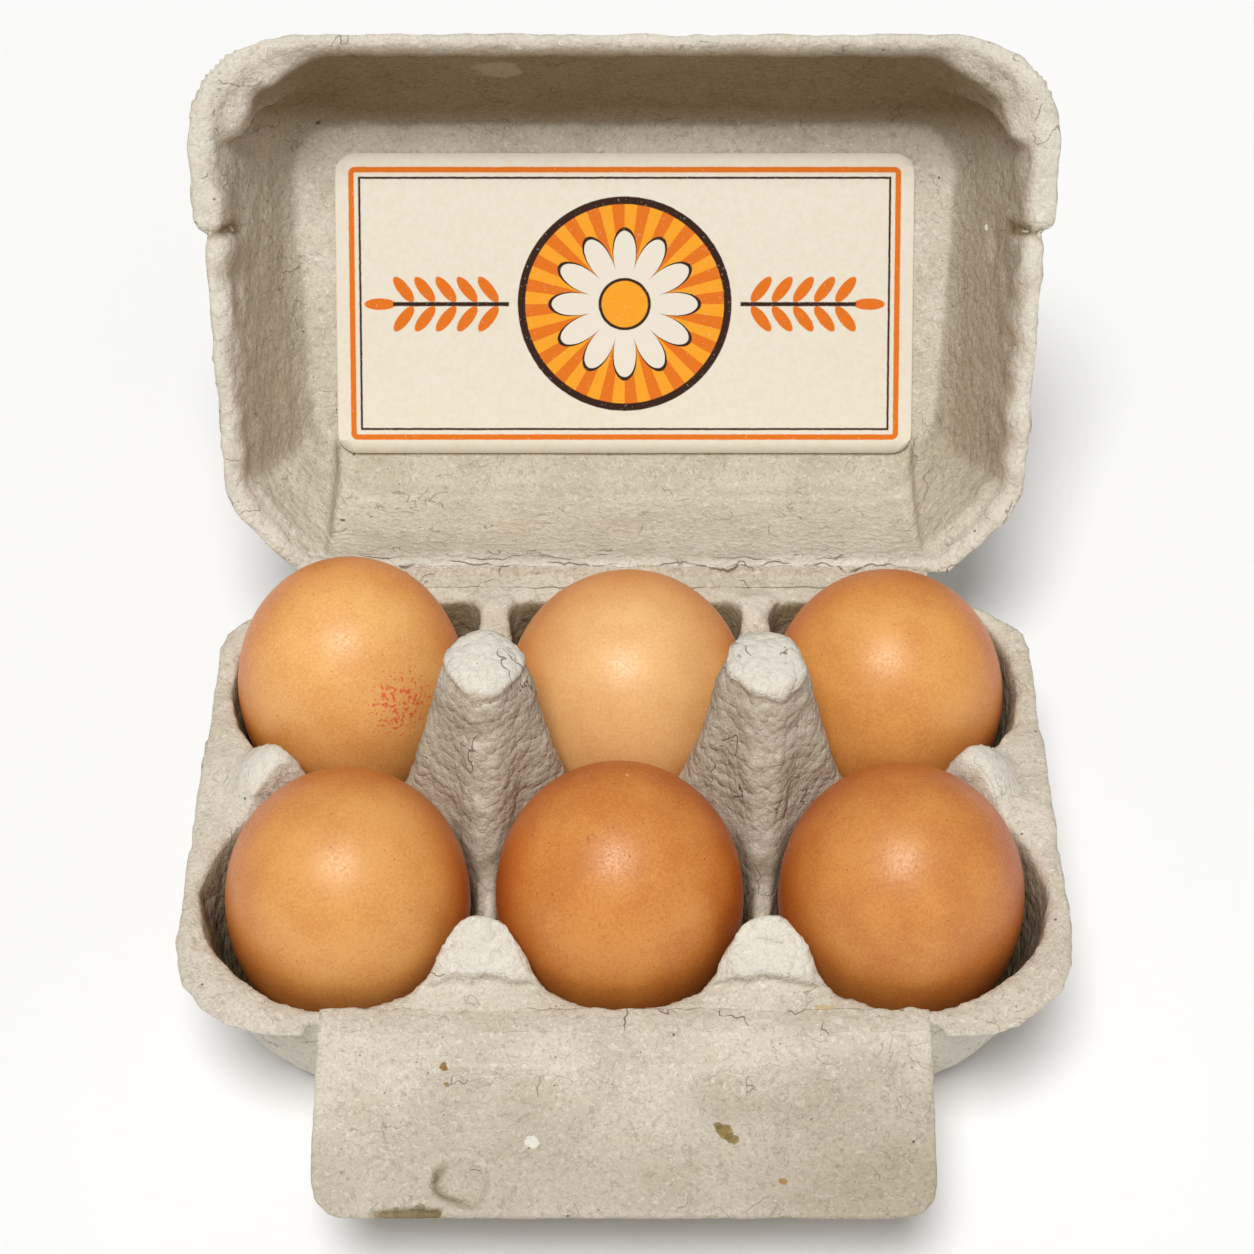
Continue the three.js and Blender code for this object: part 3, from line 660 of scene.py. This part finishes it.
def pulp_group():
    """Grain, fibres and flecks of moulded pulp, with painted shade and painted light laid on from a value
    per point; heights are in millimetres.
    """
    tree, given, out = new_group(
        "moulded pulp",
        [("Position", "vector"), ("Painted Shading", "value"), ("Coarse", "value"), ("Streaks", "value")],
        [("Colour", "colour"), ("Roughness", "value"), ("Height", "value")],
    )
    position = given.outputs["Position"]
    pale, mid, warm = rgb(219, 210, 193), rgb(203, 193, 174), rgb(208, 192, 164)
    cloud = mottle(tree, position, 11 * MM, 3.0)
    colour = blend_colours(tree, scaled(tree, cloud, 0.3, 0.7), pale, mid)
    stain = mottle(tree, moved(tree, position, (0.4, 0.1, 0.2)), 17 * MM, 4.0)
    colour = blend_colours(tree, scaled(tree, stain, 0.55, 0.75, 0.0, 0.4), colour, warm)
    grain = mottle(tree, position, 0.6 * MM, 3.0)
    colour = blend_colours(tree, scaled(tree, grain, 0.35, 0.7, 0.0, 0.34), colour, rgb(176, 167, 148))
    dark_fibre = maths(
        tree, "MAXIMUM",
        curly_fibres(tree, position, 2.3 * MM, 0.045, 1, 0.12),
        curly_fibres(tree, position, 1.5 * MM, 0.05, 2, 0.1),
    )
    pale_fibre = maths(
        tree, "MAXIMUM",
        curly_fibres(tree, position, 2.0 * MM, 0.05, 3, 0.16),
        curly_fibres(tree, position, 1.3 * MM, 0.06, 4, 0.16),
    )
    colour = blend_colours(tree, maths(tree, "MULTIPLY", dark_fibre, 0.34), colour, rgb(132, 118, 94))
    colour = blend_colours(tree, maths(tree, "MULTIPLY", pale_fibre, 0.5), colour, rgb(236, 230, 217))
    # Painted light: where the value is below zero the pulp is paled towards a light colour
    tip = maths(tree, "MULTIPLY", given.outputs["Painted Shading"], -0.75, clamp=True)
    colour = blend_colours(tree, tip, colour, rgb(233, 229, 217))
    # Painted shade: where the value is above zero the pulp is darkened towards brown
    deep = maths(tree, "MULTIPLY", given.outputs["Painted Shading"], scaled(tree, cloud, 0.2, 0.8, 1.0, 0.8))
    painted_shade_colour = blend_colours(tree, 1.0, colour, rgb(168, 155, 131), "MULTIPLY")
    colour = blend_colours(tree, deep, colour, painted_shade_colour)
    dark_flecks = maths(
        tree, "MAXIMUM",
        flecks(tree, position, 2.4 * MM, 0.2 * MM, 0.3),
        flecks(tree, moved(tree, position, (0.1, 0.2, 0.3)), 4.5 * MM, 0.34 * MM, 0.2),
    )
    colour = blend_colours(tree, maths(tree, "MULTIPLY", dark_flecks, 0.8), colour, rgb(88, 72, 50))
    tan_flecks = flecks(tree, moved(tree, position, (0.3, 0.6, 0.2)), 3.6 * MM, 0.45 * MM, 0.3)
    colour = blend_colours(tree, maths(tree, "MULTIPLY", tan_flecks, 0.4), colour, rgb(170, 140, 96))
    warped = maths(tree, "MULTIPLY", mottle(tree, position, 2.0 * MM, 1.0), 1.2 * MM)
    from_pebble, _ = cells(tree, moved(tree, position, warped), 1.7 * MM)
    pebble = maths(tree, "POWER", from_pebble, 2.0)
    height = maths(tree, "MULTIPLY", maths(tree, "MULTIPLY", pebble, -0.45), given.outputs["Coarse"])
    for value, amount in ((grain, 0.14), (mottle(tree, position, 2.6 * MM, 2.0), 0.35), (pale_fibre, 0.07)):
        height = maths(tree, "MULTIPLY_ADD", value, amount, height)
    height = maths(tree, "MULTIPLY_ADD", given.outputs["Streaks"], 0.2, height)
    put(tree, out.inputs["Colour"], colour)
    put(tree, out.inputs["Roughness"], scaled(tree, grain, 0.2, 0.8, 0.82, 0.96))
    put(tree, out.inputs["Height"], height)
    return tree


PULP_GROUP = pulp_group()


def new_material(name):
    material = bpy.data.materials.new(name)
    material.use_nodes = True
    tree = material.node_tree
    position = tree.nodes.new("ShaderNodeTexCoord").outputs["Object"]
    return material, tree, position, tree.nodes["Principled BSDF"]


def raise_surface(tree, shader, height, strength):
    """Bumps a shader by a height in millimetres."""
    bump = tree.nodes.new("ShaderNodeBump")
    bump.inputs["Strength"].default_value = strength
    bump.inputs["Distance"].default_value = MM
    put(tree, bump.inputs["Height"], height)
    put(tree, shader.inputs["Normal"], bump.outputs["Normal"])


def cracks(tree, position, size, width, kept):
    """Sparse hairline cracks: 1 on them."""
    line = contour(tree, mottle(tree, position, size, 3.0, 0.4), width)
    where = mottle(tree, moved(tree, position, (0.5, 0.3, 0.9)), 0.9 * size, 1.0)
    return maths(tree, "MULTIPLY", line, scaled(tree, where, 0.62 - kept, 0.68 - kept))


# Size of the roughness at a small mark's edge
SMALL_MARK = 1.1 * MM


def pulp_material(name, marks=(), streaked=False, crack_lines=()):
    """Pulp with marks of its own: (place, reach, colour, strength) each."""
    material, tree, position, shader = new_material(name)
    # Each piece's painted shading per point: painted shade where positive, painted light where negative
    painted_shading = tree.nodes.new("ShaderNodeAttribute")
    painted_shading.attribute_name = "painted_shading"
    coarse = tree.nodes.new("ShaderNodeAttribute")
    coarse.attribute_name = "coarse"
    pulp = tree.nodes.new("ShaderNodeGroup")
    pulp.node_tree = PULP_GROUP
    put(tree, pulp.inputs["Position"], position)
    put(tree, pulp.inputs["Painted Shading"], painted_shading.outputs["Fac"])
    put(tree, pulp.inputs["Coarse"], coarse.outputs["Fac"])
    colour, height = pulp.outputs["Colour"], pulp.outputs["Height"]
    if streaked:
        stretched = vector_maths(tree, "MULTIPLY", position, (1, 0.22, 0.22))
        streaks = mottle(tree, stretched, 0.8 * MM, 2.0, 0.3)
        on_walls = maths(tree, "MULTIPLY", streaks, painted_shading.outputs["Fac"])
        put(tree, pulp.inputs["Streaks"], on_walls)
        side = maths(tree, "SUBTRACT", 1.0, painted_shading.outputs["Fac"], clamp=True)
        side_wall = maths(tree, "MULTIPLY", on_walls, side)
        pale_streak = maths(tree, "MULTIPLY", scaled(tree, streaks, 0.55, 0.7), side_wall)
        colour = blend_colours(tree, maths(tree, "MULTIPLY", pale_streak, 0.8), colour, rgb(216, 205, 182))
    crack = maths(tree, "MULTIPLY", cracks(tree, position, 9 * MM, 0.008, 0.07), coarse.outputs["Fac"])
    for line in crack_lines:
        crack = maths(tree, "MAXIMUM", crack, line(tree, position))
    colour = blend_colours(tree, maths(tree, "MULTIPLY", crack, 0.75), colour, rgb(104, 88, 66))
    height = maths(tree, "MULTIPLY_ADD", crack, -0.3, height)
    fine = mottle(tree, position, SMALL_MARK, 2.0)
    for place, reach, mark_colour, strength in marks:
        off = maths(tree, "DIVIDE", vector_maths(tree, "DISTANCE", position, tuple(place)), reach)
        rough = fine if reach < 2 * SMALL_MARK else mottle(tree, position, reach, 2.0)
        ragged = maths(tree, "MULTIPLY_ADD", rough, 1.1, off)
        spot = scaled(tree, ragged, 1.5, 1.25)
        colour = blend_colours(tree, maths(tree, "MULTIPLY", spot, strength), colour, mark_colour)
    put(tree, shader.inputs["Base Color"], colour)
    put(tree, shader.inputs["Roughness"], pulp.outputs["Roughness"])
    shader.inputs["Specular IOR Level"].default_value = 0.25
    raise_surface(tree, shader, height, 0.9)
    return material


def eggshell_group():
    """Pores, mottling and roughness of a brown eggshell; heights are in millimetres."""
    tree, given, out = new_group(
        "eggshell",
        [("Position", "vector"), ("Shell", "colour"), ("Deep", "colour"), ("Pores", "value")],
        [("Colour", "colour"), ("Roughness", "value"), ("Height", "value")],
    )
    position = given.outputs["Position"]
    cloud = mottle(tree, position, 9 * MM, 3.0)
    freckle = mottle(tree, position, 0.5 * MM, 3.0)
    shade = maths(tree, "MULTIPLY_ADD", freckle, 0.5, maths(tree, "MULTIPLY", cloud, 0.5))
    colour = blend_colours(
        tree, scaled(tree, shade, 0.36, 0.66), given.outputs["Shell"], given.outputs["Deep"]
    )
    fine = flecks(tree, position, 0.95 * MM, 0.14 * MM, 0.55)
    coarse = flecks(tree, moved(tree, position, (0.2, 0.4, 0.1)), 2.2 * MM, 0.24 * MM, 0.35)
    pores = maths(tree, "MULTIPLY", maths(tree, "MAXIMUM", fine, coarse), given.outputs["Pores"])
    dark = blend_colours(tree, 1.0, given.outputs["Deep"], rgb(188, 150, 120), "MULTIPLY")
    colour = blend_colours(tree, pores, colour, dark)
    height = maths(tree, "MULTIPLY_ADD", pores, -0.03, maths(tree, "MULTIPLY", freckle, 0.035))
    put(tree, out.inputs["Colour"], colour)
    put(tree, out.inputs["Roughness"], scaled(tree, freckle, 0.3, 0.7, 0.38, 0.5))
    put(tree, out.inputs["Height"], height)
    return tree


EGGSHELL_GROUP = eggshell_group()


def eggshell_material(name, shell, deep, pores, blotches=()):
    """A shell with blotches of its own: (place, reach, colour, strength, speckle size) each."""
    material, tree, position, shader = new_material(name)
    group = tree.nodes.new("ShaderNodeGroup")
    group.node_tree = EGGSHELL_GROUP
    put(tree, group.inputs["Position"], position)
    group.inputs["Shell"].default_value = shell
    group.inputs["Deep"].default_value = deep
    group.inputs["Pores"].default_value = pores
    colour = group.outputs["Colour"]
    for place, reach, blotch_colour, strength, speckle in blotches:
        off = maths(tree, "DIVIDE", vector_maths(tree, "DISTANCE", position, tuple(place)), reach)
        near = scaled(tree, off, 1.0, 0.3)
        least = maths(tree, "MULTIPLY_ADD", near, -0.13, 0.64)
        over = maths(tree, "SUBTRACT", mottle(tree, position, speckle, 3.0), least)
        spot = maths(tree, "MULTIPLY", scaled(tree, over, 0.0, 0.06), scaled(tree, near, 0.0, 0.3))
        colour = blend_colours(tree, maths(tree, "MULTIPLY", spot, strength), colour, blotch_colour)
    # Painted shade: the shell grows darker and richer towards its outline as seen from the camera
    facing = tree.nodes.new("ShaderNodeLayerWeight").outputs["Facing"]
    painted_edge_shade = blend_colours(tree, 1.0, colour, rgb(236, 196, 154), "MULTIPLY")
    colour = blend_colours(tree, scaled(tree, facing, 0.15, 0.85), colour, painted_edge_shade)
    put(tree, shader.inputs["Base Color"], colour)
    put(tree, shader.inputs["Roughness"], group.outputs["Roughness"])
    shader.inputs["Specular IOR Level"].default_value = 0.5
    raise_surface(tree, shader, group.outputs["Height"], 0.8)
    return material


# Printed label: a daisy roundel between two sprigs of wheat, inside a double border

CREAM = rgb(233, 226, 210)
AMBER = rgb(245, 163, 38)
ORANGE = rgb(226, 116, 24)
COCOA = rgb(52, 28, 16)


def inside(tree, distance, softness=0.12):
    """1 where a signed distance, in millimetres, is below zero."""
    return scaled(tree, distance, softness, -softness)


def ring(tree, distance, half_width):
    return inside(tree, maths(tree, "SUBTRACT", maths(tree, "ABSOLUTE", distance), half_width))


def rounded_box(tree, u, v, half_u, half_v, corner):
    """Signed distance to a box with round corners."""
    du = maths(tree, "SUBTRACT", maths(tree, "ABSOLUTE", u), half_u - corner)
    dv = maths(tree, "SUBTRACT", maths(tree, "ABSOLUTE", v), half_v - corner)
    past_u, past_v = maths(tree, "MAXIMUM", du, 0.0), maths(tree, "MAXIMUM", dv, 0.0)
    squares = maths(tree, "ADD", maths(tree, "POWER", past_u, 2.0), maths(tree, "POWER", past_v, 2.0))
    within = maths(tree, "MINIMUM", maths(tree, "MAXIMUM", du, dv), 0.0)
    return maths(tree, "SUBTRACT", maths(tree, "ADD", maths(tree, "SQRT", squares), within), corner)


def grain_of_wheat(tree, u, v, turn):
    """Signed distance, roughly, to a slim grain at the origin, turned by an angle."""
    c, s = math.cos(turn), math.sin(turn)
    along = maths(tree, "ADD", maths(tree, "MULTIPLY", u, c), maths(tree, "MULTIPLY", v, s))
    across = maths(tree, "SUBTRACT", maths(tree, "MULTIPLY", v, c), maths(tree, "MULTIPLY", u, s))
    squares = maths(
        tree, "ADD",
        maths(tree, "POWER", maths(tree, "DIVIDE", along, 3.1), 2.0),
        maths(tree, "POWER", maths(tree, "DIVIDE", across, 1.15), 2.0),
    )
    return maths(tree, "SUBTRACT", maths(tree, "SQRT", squares), 1.0)


# On the label, in millimetres: radii of the roundel, of the daisy's heart and between its petals, and
# how much further they reach; where a sprig's stem and grains start, where both end, and its spacing
ROUNDEL_RADIUS = 20.5
HEART_RADIUS = 4.6
PETAL_FROM = 6.5
PETAL_LENGTH = 8.0
STEM_FROM = 23.0
GRAINS_FROM = 25.0
SPRIG_TO = 46.0
GRAIN_STEP = 4.2


def daisy_roundel(tree, u, v, colour):
    """A cream daisy with an amber heart on a rayed disc, laid over `colour`."""
    squares = maths(tree, "ADD", maths(tree, "POWER", u, 2.0), maths(tree, "POWER", v, 2.0))
    radius = maths(tree, "SQRT", squares)
    angle = maths(tree, "ARCTAN2", v, u)
    disc = maths(tree, "SUBTRACT", radius, ROUNDEL_RADIUS)
    rays = scaled(tree, maths(tree, "SINE", maths(tree, "MULTIPLY", angle, 24.0)), -0.12, 0.12)
    sun = blend_colours(tree, rays, AMBER, ORANGE)
    colour = blend_colours(tree, inside(tree, disc), colour, sun)
    colour = blend_colours(tree, ring(tree, disc, 0.75), colour, COCOA)
    lobes = maths(tree, "ABSOLUTE", maths(tree, "COSINE", maths(tree, "MULTIPLY", angle, 6.0)))
    petal_edge = maths(tree, "MULTIPLY_ADD", maths(tree, "POWER", lobes, 0.55), PETAL_LENGTH, PETAL_FROM)
    petals = maths(tree, "SUBTRACT", radius, petal_edge)
    colour = blend_colours(tree, inside(tree, maths(tree, "SUBTRACT", petals, 0.7)), colour, COCOA)
    colour = blend_colours(tree, inside(tree, petals), colour, CREAM)
    heart = maths(tree, "SUBTRACT", radius, HEART_RADIUS)
    colour = blend_colours(tree, inside(tree, maths(tree, "SUBTRACT", heart, 0.6)), colour, COCOA)
    return blend_colours(tree, inside(tree, heart), colour, AMBER)


def wheat_sprigs(tree, u, v, colour):
    """A stem to each side with pairs of grains and one at its tip, laid over `colour`."""
    out_u = maths(tree, "ABSOLUTE", u)
    up_v = maths(tree, "ABSOLUTE", v)
    on_sprig = maths(
        tree, "MULTIPLY",
        maths(tree, "GREATER_THAN", out_u, GRAINS_FROM),
        maths(tree, "LESS_THAN", out_u, SPRIG_TO),
    )
    along = maths(tree, "MODULO", maths(tree, "SUBTRACT", out_u, GRAINS_FROM), GRAIN_STEP)
    cell_u = maths(tree, "SUBTRACT", along, GRAIN_STEP / 2)
    grains = grain_of_wheat(tree, cell_u, maths(tree, "SUBTRACT", up_v, 2.9), math.radians(52))
    wheat = maths(tree, "MULTIPLY", inside(tree, grains, 0.07), on_sprig)
    colour = blend_colours(tree, wheat, colour, ORANGE)
    tip = grain_of_wheat(tree, maths(tree, "SUBTRACT", out_u, 48.6), v, 0.0)
    colour = blend_colours(tree, inside(tree, tip, 0.07), colour, ORANGE)
    off_middle = maths(tree, "ABSOLUTE", maths(tree, "SUBTRACT", out_u, (STEM_FROM + SPRIG_TO) / 2))
    stem_end = maths(tree, "SUBTRACT", off_middle, (SPRIG_TO - STEM_FROM) / 2)
    stem = maths(tree, "MAXIMUM", stem_end, maths(tree, "SUBTRACT", up_v, 0.42))
    return blend_colours(tree, inside(tree, stem), colour, COCOA)


def printed_colour(tree, u, v, paper):
    """Lays the inks over the paper, in the order a printer would."""
    half_u, half_v = LABEL_SIZE.x / 2 / MM, LABEL_SIZE.y / 2 / MM
    edge = rounded_box(tree, u, v, half_u, half_v, LABEL_CORNER / MM)
    colour = blend_colours(tree, ring(tree, maths(tree, "ADD", edge, 3.2), 0.55), paper, ORANGE)
    colour = blend_colours(tree, ring(tree, maths(tree, "ADD", edge, 4.8), 0.22), colour, COCOA)
    colour = daisy_roundel(tree, u, v, colour)
    return wheat_sprigs(tree, u, v, colour)


def label_material():
    material, tree, position, shader = new_material("printed label")
    turned = tree.nodes.new("ShaderNodeMapping")
    turned.vector_type = "TEXTURE"
    turned.inputs["Location"].default_value = LID_PLACE @ Vector((0, LABEL_MID_T, 0))
    turned.inputs["Rotation"].default_value = (LID_OPEN, 0, 0)
    put(tree, turned.inputs["Vector"], position)
    axes = tree.nodes.new("ShaderNodeSeparateXYZ")
    put(tree, axes.inputs["Vector"], turned.outputs["Vector"])
    wander = maths(tree, "MULTIPLY_ADD", mottle(tree, position, 1.2 * MM), 0.16, -0.08)
    u = maths(tree, "MULTIPLY_ADD", axes.outputs["X"], 1 / MM, wander)
    v = maths(tree, "MULTIPLY_ADD", axes.outputs["Y"], 1 / MM, wander)
    fibre = mottle(tree, position, 1.3 * MM, 4.0, 0.6)
    paper = blend_colours(tree, scaled(tree, fibre, 0.35, 0.7, 0.0, 0.5), CREAM, rgb(228, 216, 190))
    colour = printed_colour(tree, u, v, paper)
    worn = scaled(tree, mottle(tree, position, 0.5 * MM, 3.0), 0.62, 0.74, 0.0, 0.28)
    colour = blend_colours(tree, worn, colour, paper)
    put(tree, shader.inputs["Base Color"], colour)
    shader.inputs["Roughness"].default_value = 0.8
    shader.inputs["Specular IOR Level"].default_value = 0.25
    height = maths(tree, "MULTIPLY", fibre, 0.07)
    raise_surface(tree, shader, height, 0.7)
    return material


# Making the pieces

def on_flap(x, t):
    """The point of the flap's upper face at a place in its own axes."""
    above = FLAP_PLACE @ (Vector((x, -t, 5)) * MM)
    down = FLAP_PLACE.to_3x3() @ Vector((0, 0, -1))
    return frame["nodes"]["lock_flap"].ray_cast(above, down)[1]


def on_lid(x, t, depth):
    return LID_PLACE @ (Vector((x, t, -depth)) * MM)


CHAFF = rgb(120, 100, 52)
WHITE_FLECK = rgb(250, 247, 238)
STAIN = rgb(196, 172, 120)
# Colour of the painted shadow along the flap's torn edge
TEAR_SHADOW = rgb(128, 112, 84)

FLAP_MARKS = [
    (on_flap(15.9, 18.4), 0.9 * MM, CHAFF, 0.8),
    (on_flap(16.6, 19.1), 1.4 * MM, CHAFF, 0.8),
    (on_flap(17.3, 19.8), 1.4 * MM, rgb(146, 120, 66), 0.8),
    (on_flap(18.0, 20.5), 1.2 * MM, CHAFF, 0.8),
    (on_flap(18.6, 21.1), 0.8 * MM, rgb(146, 120, 66), 0.8),
    (on_flap(26.6, 28.4), 0.8 * MM, rgb(158, 120, 62), 0.8),
    (on_flap(-30.7, 8.6), 0.9 * MM, rgb(140, 104, 50), 0.9),
    (on_flap(-30.2, 10.8), 0.6 * MM, rgb(150, 118, 64), 0.8),
    (on_flap(-15.7, 21.5), 1.5 * MM, WHITE_FLECK, 0.6),
    (on_flap(-16.0, 22.5), 0.35 * MM, rgb(96, 60, 24), 0.9),
    # Painted shadow along the torn-down edge
    (on_flap(-40.0, 33.9), 0.7 * MM, TEAR_SHADOW, 0.8),
    (on_flap(-38.0, 33.9), 1.0 * MM, TEAR_SHADOW, 0.8),
    (on_flap(-36.0, 34.0), 1.3 * MM, TEAR_SHADOW, 0.8),
    (on_flap(-34.0, 34.0), 1.6 * MM, TEAR_SHADOW, 0.8),
]
TRAY_MARKS = [
    (Vector((34.2 * MM, FLAP_AXIS.y + 1.5 * MM, RIM_Z)), 2.2 * MM, STAIN, 0.7),
    (Vector((-POST_X - 1 * MM, ROWS_Y + 1.5 * MM, 68.5 * MM)), 0.36 * MM, CHAFF, 0.5),
]
LID_MARKS = [
    (on_lid(-23.9, 98.1, 12), 6 * MM, rgb(204, 194, 174), 0.3),
    (on_lid(70.3, 66.0, 20.8), 0.8 * MM, WHITE_FLECK, 0.8),
    (on_lid(70.8, 64.0, 18.6), 1.0 * MM, WHITE_FLECK, 0.8),
    (on_lid(71.4, 62.0, 16.4), 1.0 * MM, WHITE_FLECK, 0.7),
    (on_lid(71.9, 60.0, 14.2), 0.9 * MM, rgb(214, 208, 196), 0.8),
    (on_lid(-55.6, 8.3, 21.3), 0.8 * MM, rgb(90, 74, 52), 0.8),
    (on_lid(-60.4, 86.2, 31.3), 0.7 * MM, rgb(84, 70, 50), 0.8),
]


def crease_line(t, waver, breaks):
    """A dark line along the lid's crease, `t` up the lid, that wavers and breaks off."""
    line_y = (LID_PLACE @ Vector((0, t, -0.1 * t))).y

    def line(tree, position):
        axes = tree.nodes.new("ShaderNodeSeparateXYZ")
        put(tree, axes.inputs["Vector"], position)
        along = vector_maths(tree, "MULTIPLY", position, (1.0, 0.0, 0.0))
        drift = mottle(tree, moved(tree, along, (0.0, 9 * t, 0.0)), 8 * MM, 3.0)
        wave = maths(tree, "MULTIPLY_ADD", drift, waver, line_y - 0.5 * waver)
        off = maths(tree, "ABSOLUTE", maths(tree, "SUBTRACT", axes.outputs["Y"], wave))
        part = mottle(tree, moved(tree, along, (0.3, 5 * t, 0.0)), 9 * MM, 2.0)
        kept = scaled(tree, part, breaks, breaks + 0.12)
        middle = scaled(tree, maths(tree, "ABSOLUTE", axes.outputs["X"]), 58 * MM, 50 * MM)
        drawn = maths(tree, "MULTIPLY", scaled(tree, off, 0.26 * MM, 0.05 * MM), kept)
        return maths(tree, "MULTIPLY", drawn, middle)

    return line


tray_pulp = pulp_material("tray pulp", TRAY_MARKS)
LID_CREASES = [crease_line(3.0 * MM, 7 * MM, 0.4), crease_line(6.0 * MM, 8 * MM, 0.5)]
lid_pulp = pulp_material("lid pulp", LID_MARKS, streaked=True, crack_lines=LID_CREASES)
flap_pulp = pulp_material("flap pulp", FLAP_MARKS)

tray = pulp_blank("base_tray", TRAY_GRAIN, IN_PLACE)
soften(tray, 14, 0.42 * MM)
press(tray, tray_relief)
finish_pulp(tray, "pulp_tray", "base_tray", "base", IN_PLACE, tray_painted_shading, tray_coarse, tray_pulp)

lid = pulp_blank("lid", LID_GRAIN, LID_PLACE)
soften(lid, 16, 0.5 * MM)
press(lid, lid_relief)
finish_pulp(lid, "pulp_lid", "lid", "lid", LID_PLACE, lid_painted_shading, lid_coarse, lid_pulp)

flap = pulp_blank("lock_flap", FLAP_GRAIN, FLAP_PLACE)
soften(flap, 12, 0.3 * MM)
press(flap, flap_relief)
finish_pulp(flap, "pulp_flap", "lock_flap", "flap", FLAP_PLACE, flap_painted_shading, flap_coarse, flap_pulp)

LID_OUT = Vector((0, math.cos(LID_OPEN), math.sin(LID_OPEN)))
FLAP_OUT = Vector((0, -math.cos(FLAP_DROP), -math.sin(FLAP_DROP)))
crease_strip(
    "lid_crease", LID_AXIS, 58 * MM, Vector((0, -1, 0)), LID_OUT, lid_pulp
)
crease_strip(
    "flap_crease", FLAP_AXIS, 52.3 * MM, Vector((0, 1, 0)), FLAP_OUT, flap_pulp
)

label_piece(label_material())

# Each egg: colour of its shell, of its darker mottling, strength of its pores, and its blotches
EGG_FINISHES = {
    "front_left": (rgb(227, 163, 89), rgb(212, 143, 71), 0.45, []),
    "front_centre": (rgb(218, 145, 69), rgb(199, 121, 51), 0.7, [
        (Vector((-5.5, -53.8, 59.6)) * MM, 1.6 * MM, rgb(168, 92, 40), 0.6, 0.8 * MM),
        (Vector((0.6, -40.2, 59.7)) * MM, 1.0 * MM, rgb(238, 214, 184), 0.8, 0.8 * MM),
        (Vector((12.5, -57.7, 52.3)) * MM, 0.6 * MM, rgb(238, 214, 184), 0.9, 0.8 * MM),
    ]),
    "front_right": (rgb(216, 146, 72), rgb(199, 123, 56), 0.6, []),
    "rear_left": (rgb(242, 184, 109), rgb(227, 161, 87), 0.6, [
        (Vector((-40.6, -13.9, 48.4)) * MM, 8.5 * MM, rgb(230, 88, 58), 0.8, 0.7 * MM),
    ]),
    "rear_centre": (rgb(239, 189, 125), rgb(228, 171, 106), 0.3, []),
    "rear_right": (rgb(229, 164, 87), rgb(214, 143, 70), 0.55, []),
}
for place, finish in EGG_FINISHES.items():
    shell_material = eggshell_material("eggshell " + place.replace("_", " "), *finish)
    egg_piece("egg_" + place, "eggshell_" + place, shell_material)


# Floor, light and camera

def make_floor():
    bm = bmesh.new()
    bmesh.ops.create_grid(bm, x_segments=1, y_segments=1, size=3)
    floor = new_piece("floor", bm)
    material, tree, position, shader = new_material("pale floor")
    shade = scaled(tree, mottle(tree, position, 0.4, 2.0), 0.3, 0.7, 0.89, 0.92)
    put(tree, shader.inputs["Base Color"], shade)
    shader.inputs["Roughness"].default_value = 0.9
    shader.inputs["Specular IOR Level"].default_value = 0.1
    floor.data.materials.append(material)


def far_light(name, towards, breadth_deg, strength):
    """A wide soft light that is even over the whole floor."""
    light = bpy.data.lights.new(name, "SUN")
    light.angle = math.radians(breadth_deg)
    light.energy = strength
    lamp = bpy.data.objects.new(name, light)
    lamp.location = Vector(towards)
    lamp.rotation_euler = (-Vector(towards)).to_track_quat("-Z", "Y").to_euler()
    bpy.context.scene.collection.objects.link(lamp)


# Fitted to the photograph: where the camera stands, how far it looks down, and its lens
CAMERA_PLACE = Vector((0.46, -417.75, 513.97)) * MM
CAMERA_DOWN_DEG = 47.7615
LENS_IN_WIDTHS = 3403.64 / 1254
SENSOR_MM = 36


def make_camera():
    data = bpy.data.cameras.new("camera")
    data.sensor_fit = "HORIZONTAL"
    data.sensor_width = SENSOR_MM
    data.lens = LENS_IN_WIDTHS * SENSOR_MM
    data.clip_start = 0.01
    camera = bpy.data.objects.new("camera", data)
    camera.location = CAMERA_PLACE
    camera.rotation_euler = (math.radians(90 - CAMERA_DOWN_DEG), 0, 0)
    bpy.context.scene.collection.objects.link(camera)
    bpy.context.scene.camera = camera


make_floor()
make_camera()
far_light("key", (-0.08, -0.36, 0.94), 24, 2.65)
far_light("fill", (0.75, -0.7, 0.6), 60, 0.15)
world = bpy.data.worlds.new("studio")
world.use_nodes = True
world.node_tree.nodes["Background"].inputs["Color"].default_value = (1.0, 0.985, 0.96, 1.0)
world.node_tree.nodes["Background"].inputs["Strength"].default_value = 0.26
bpy.context.scene.world = world
bpy.context.scene.view_settings.view_transform = "Standard"
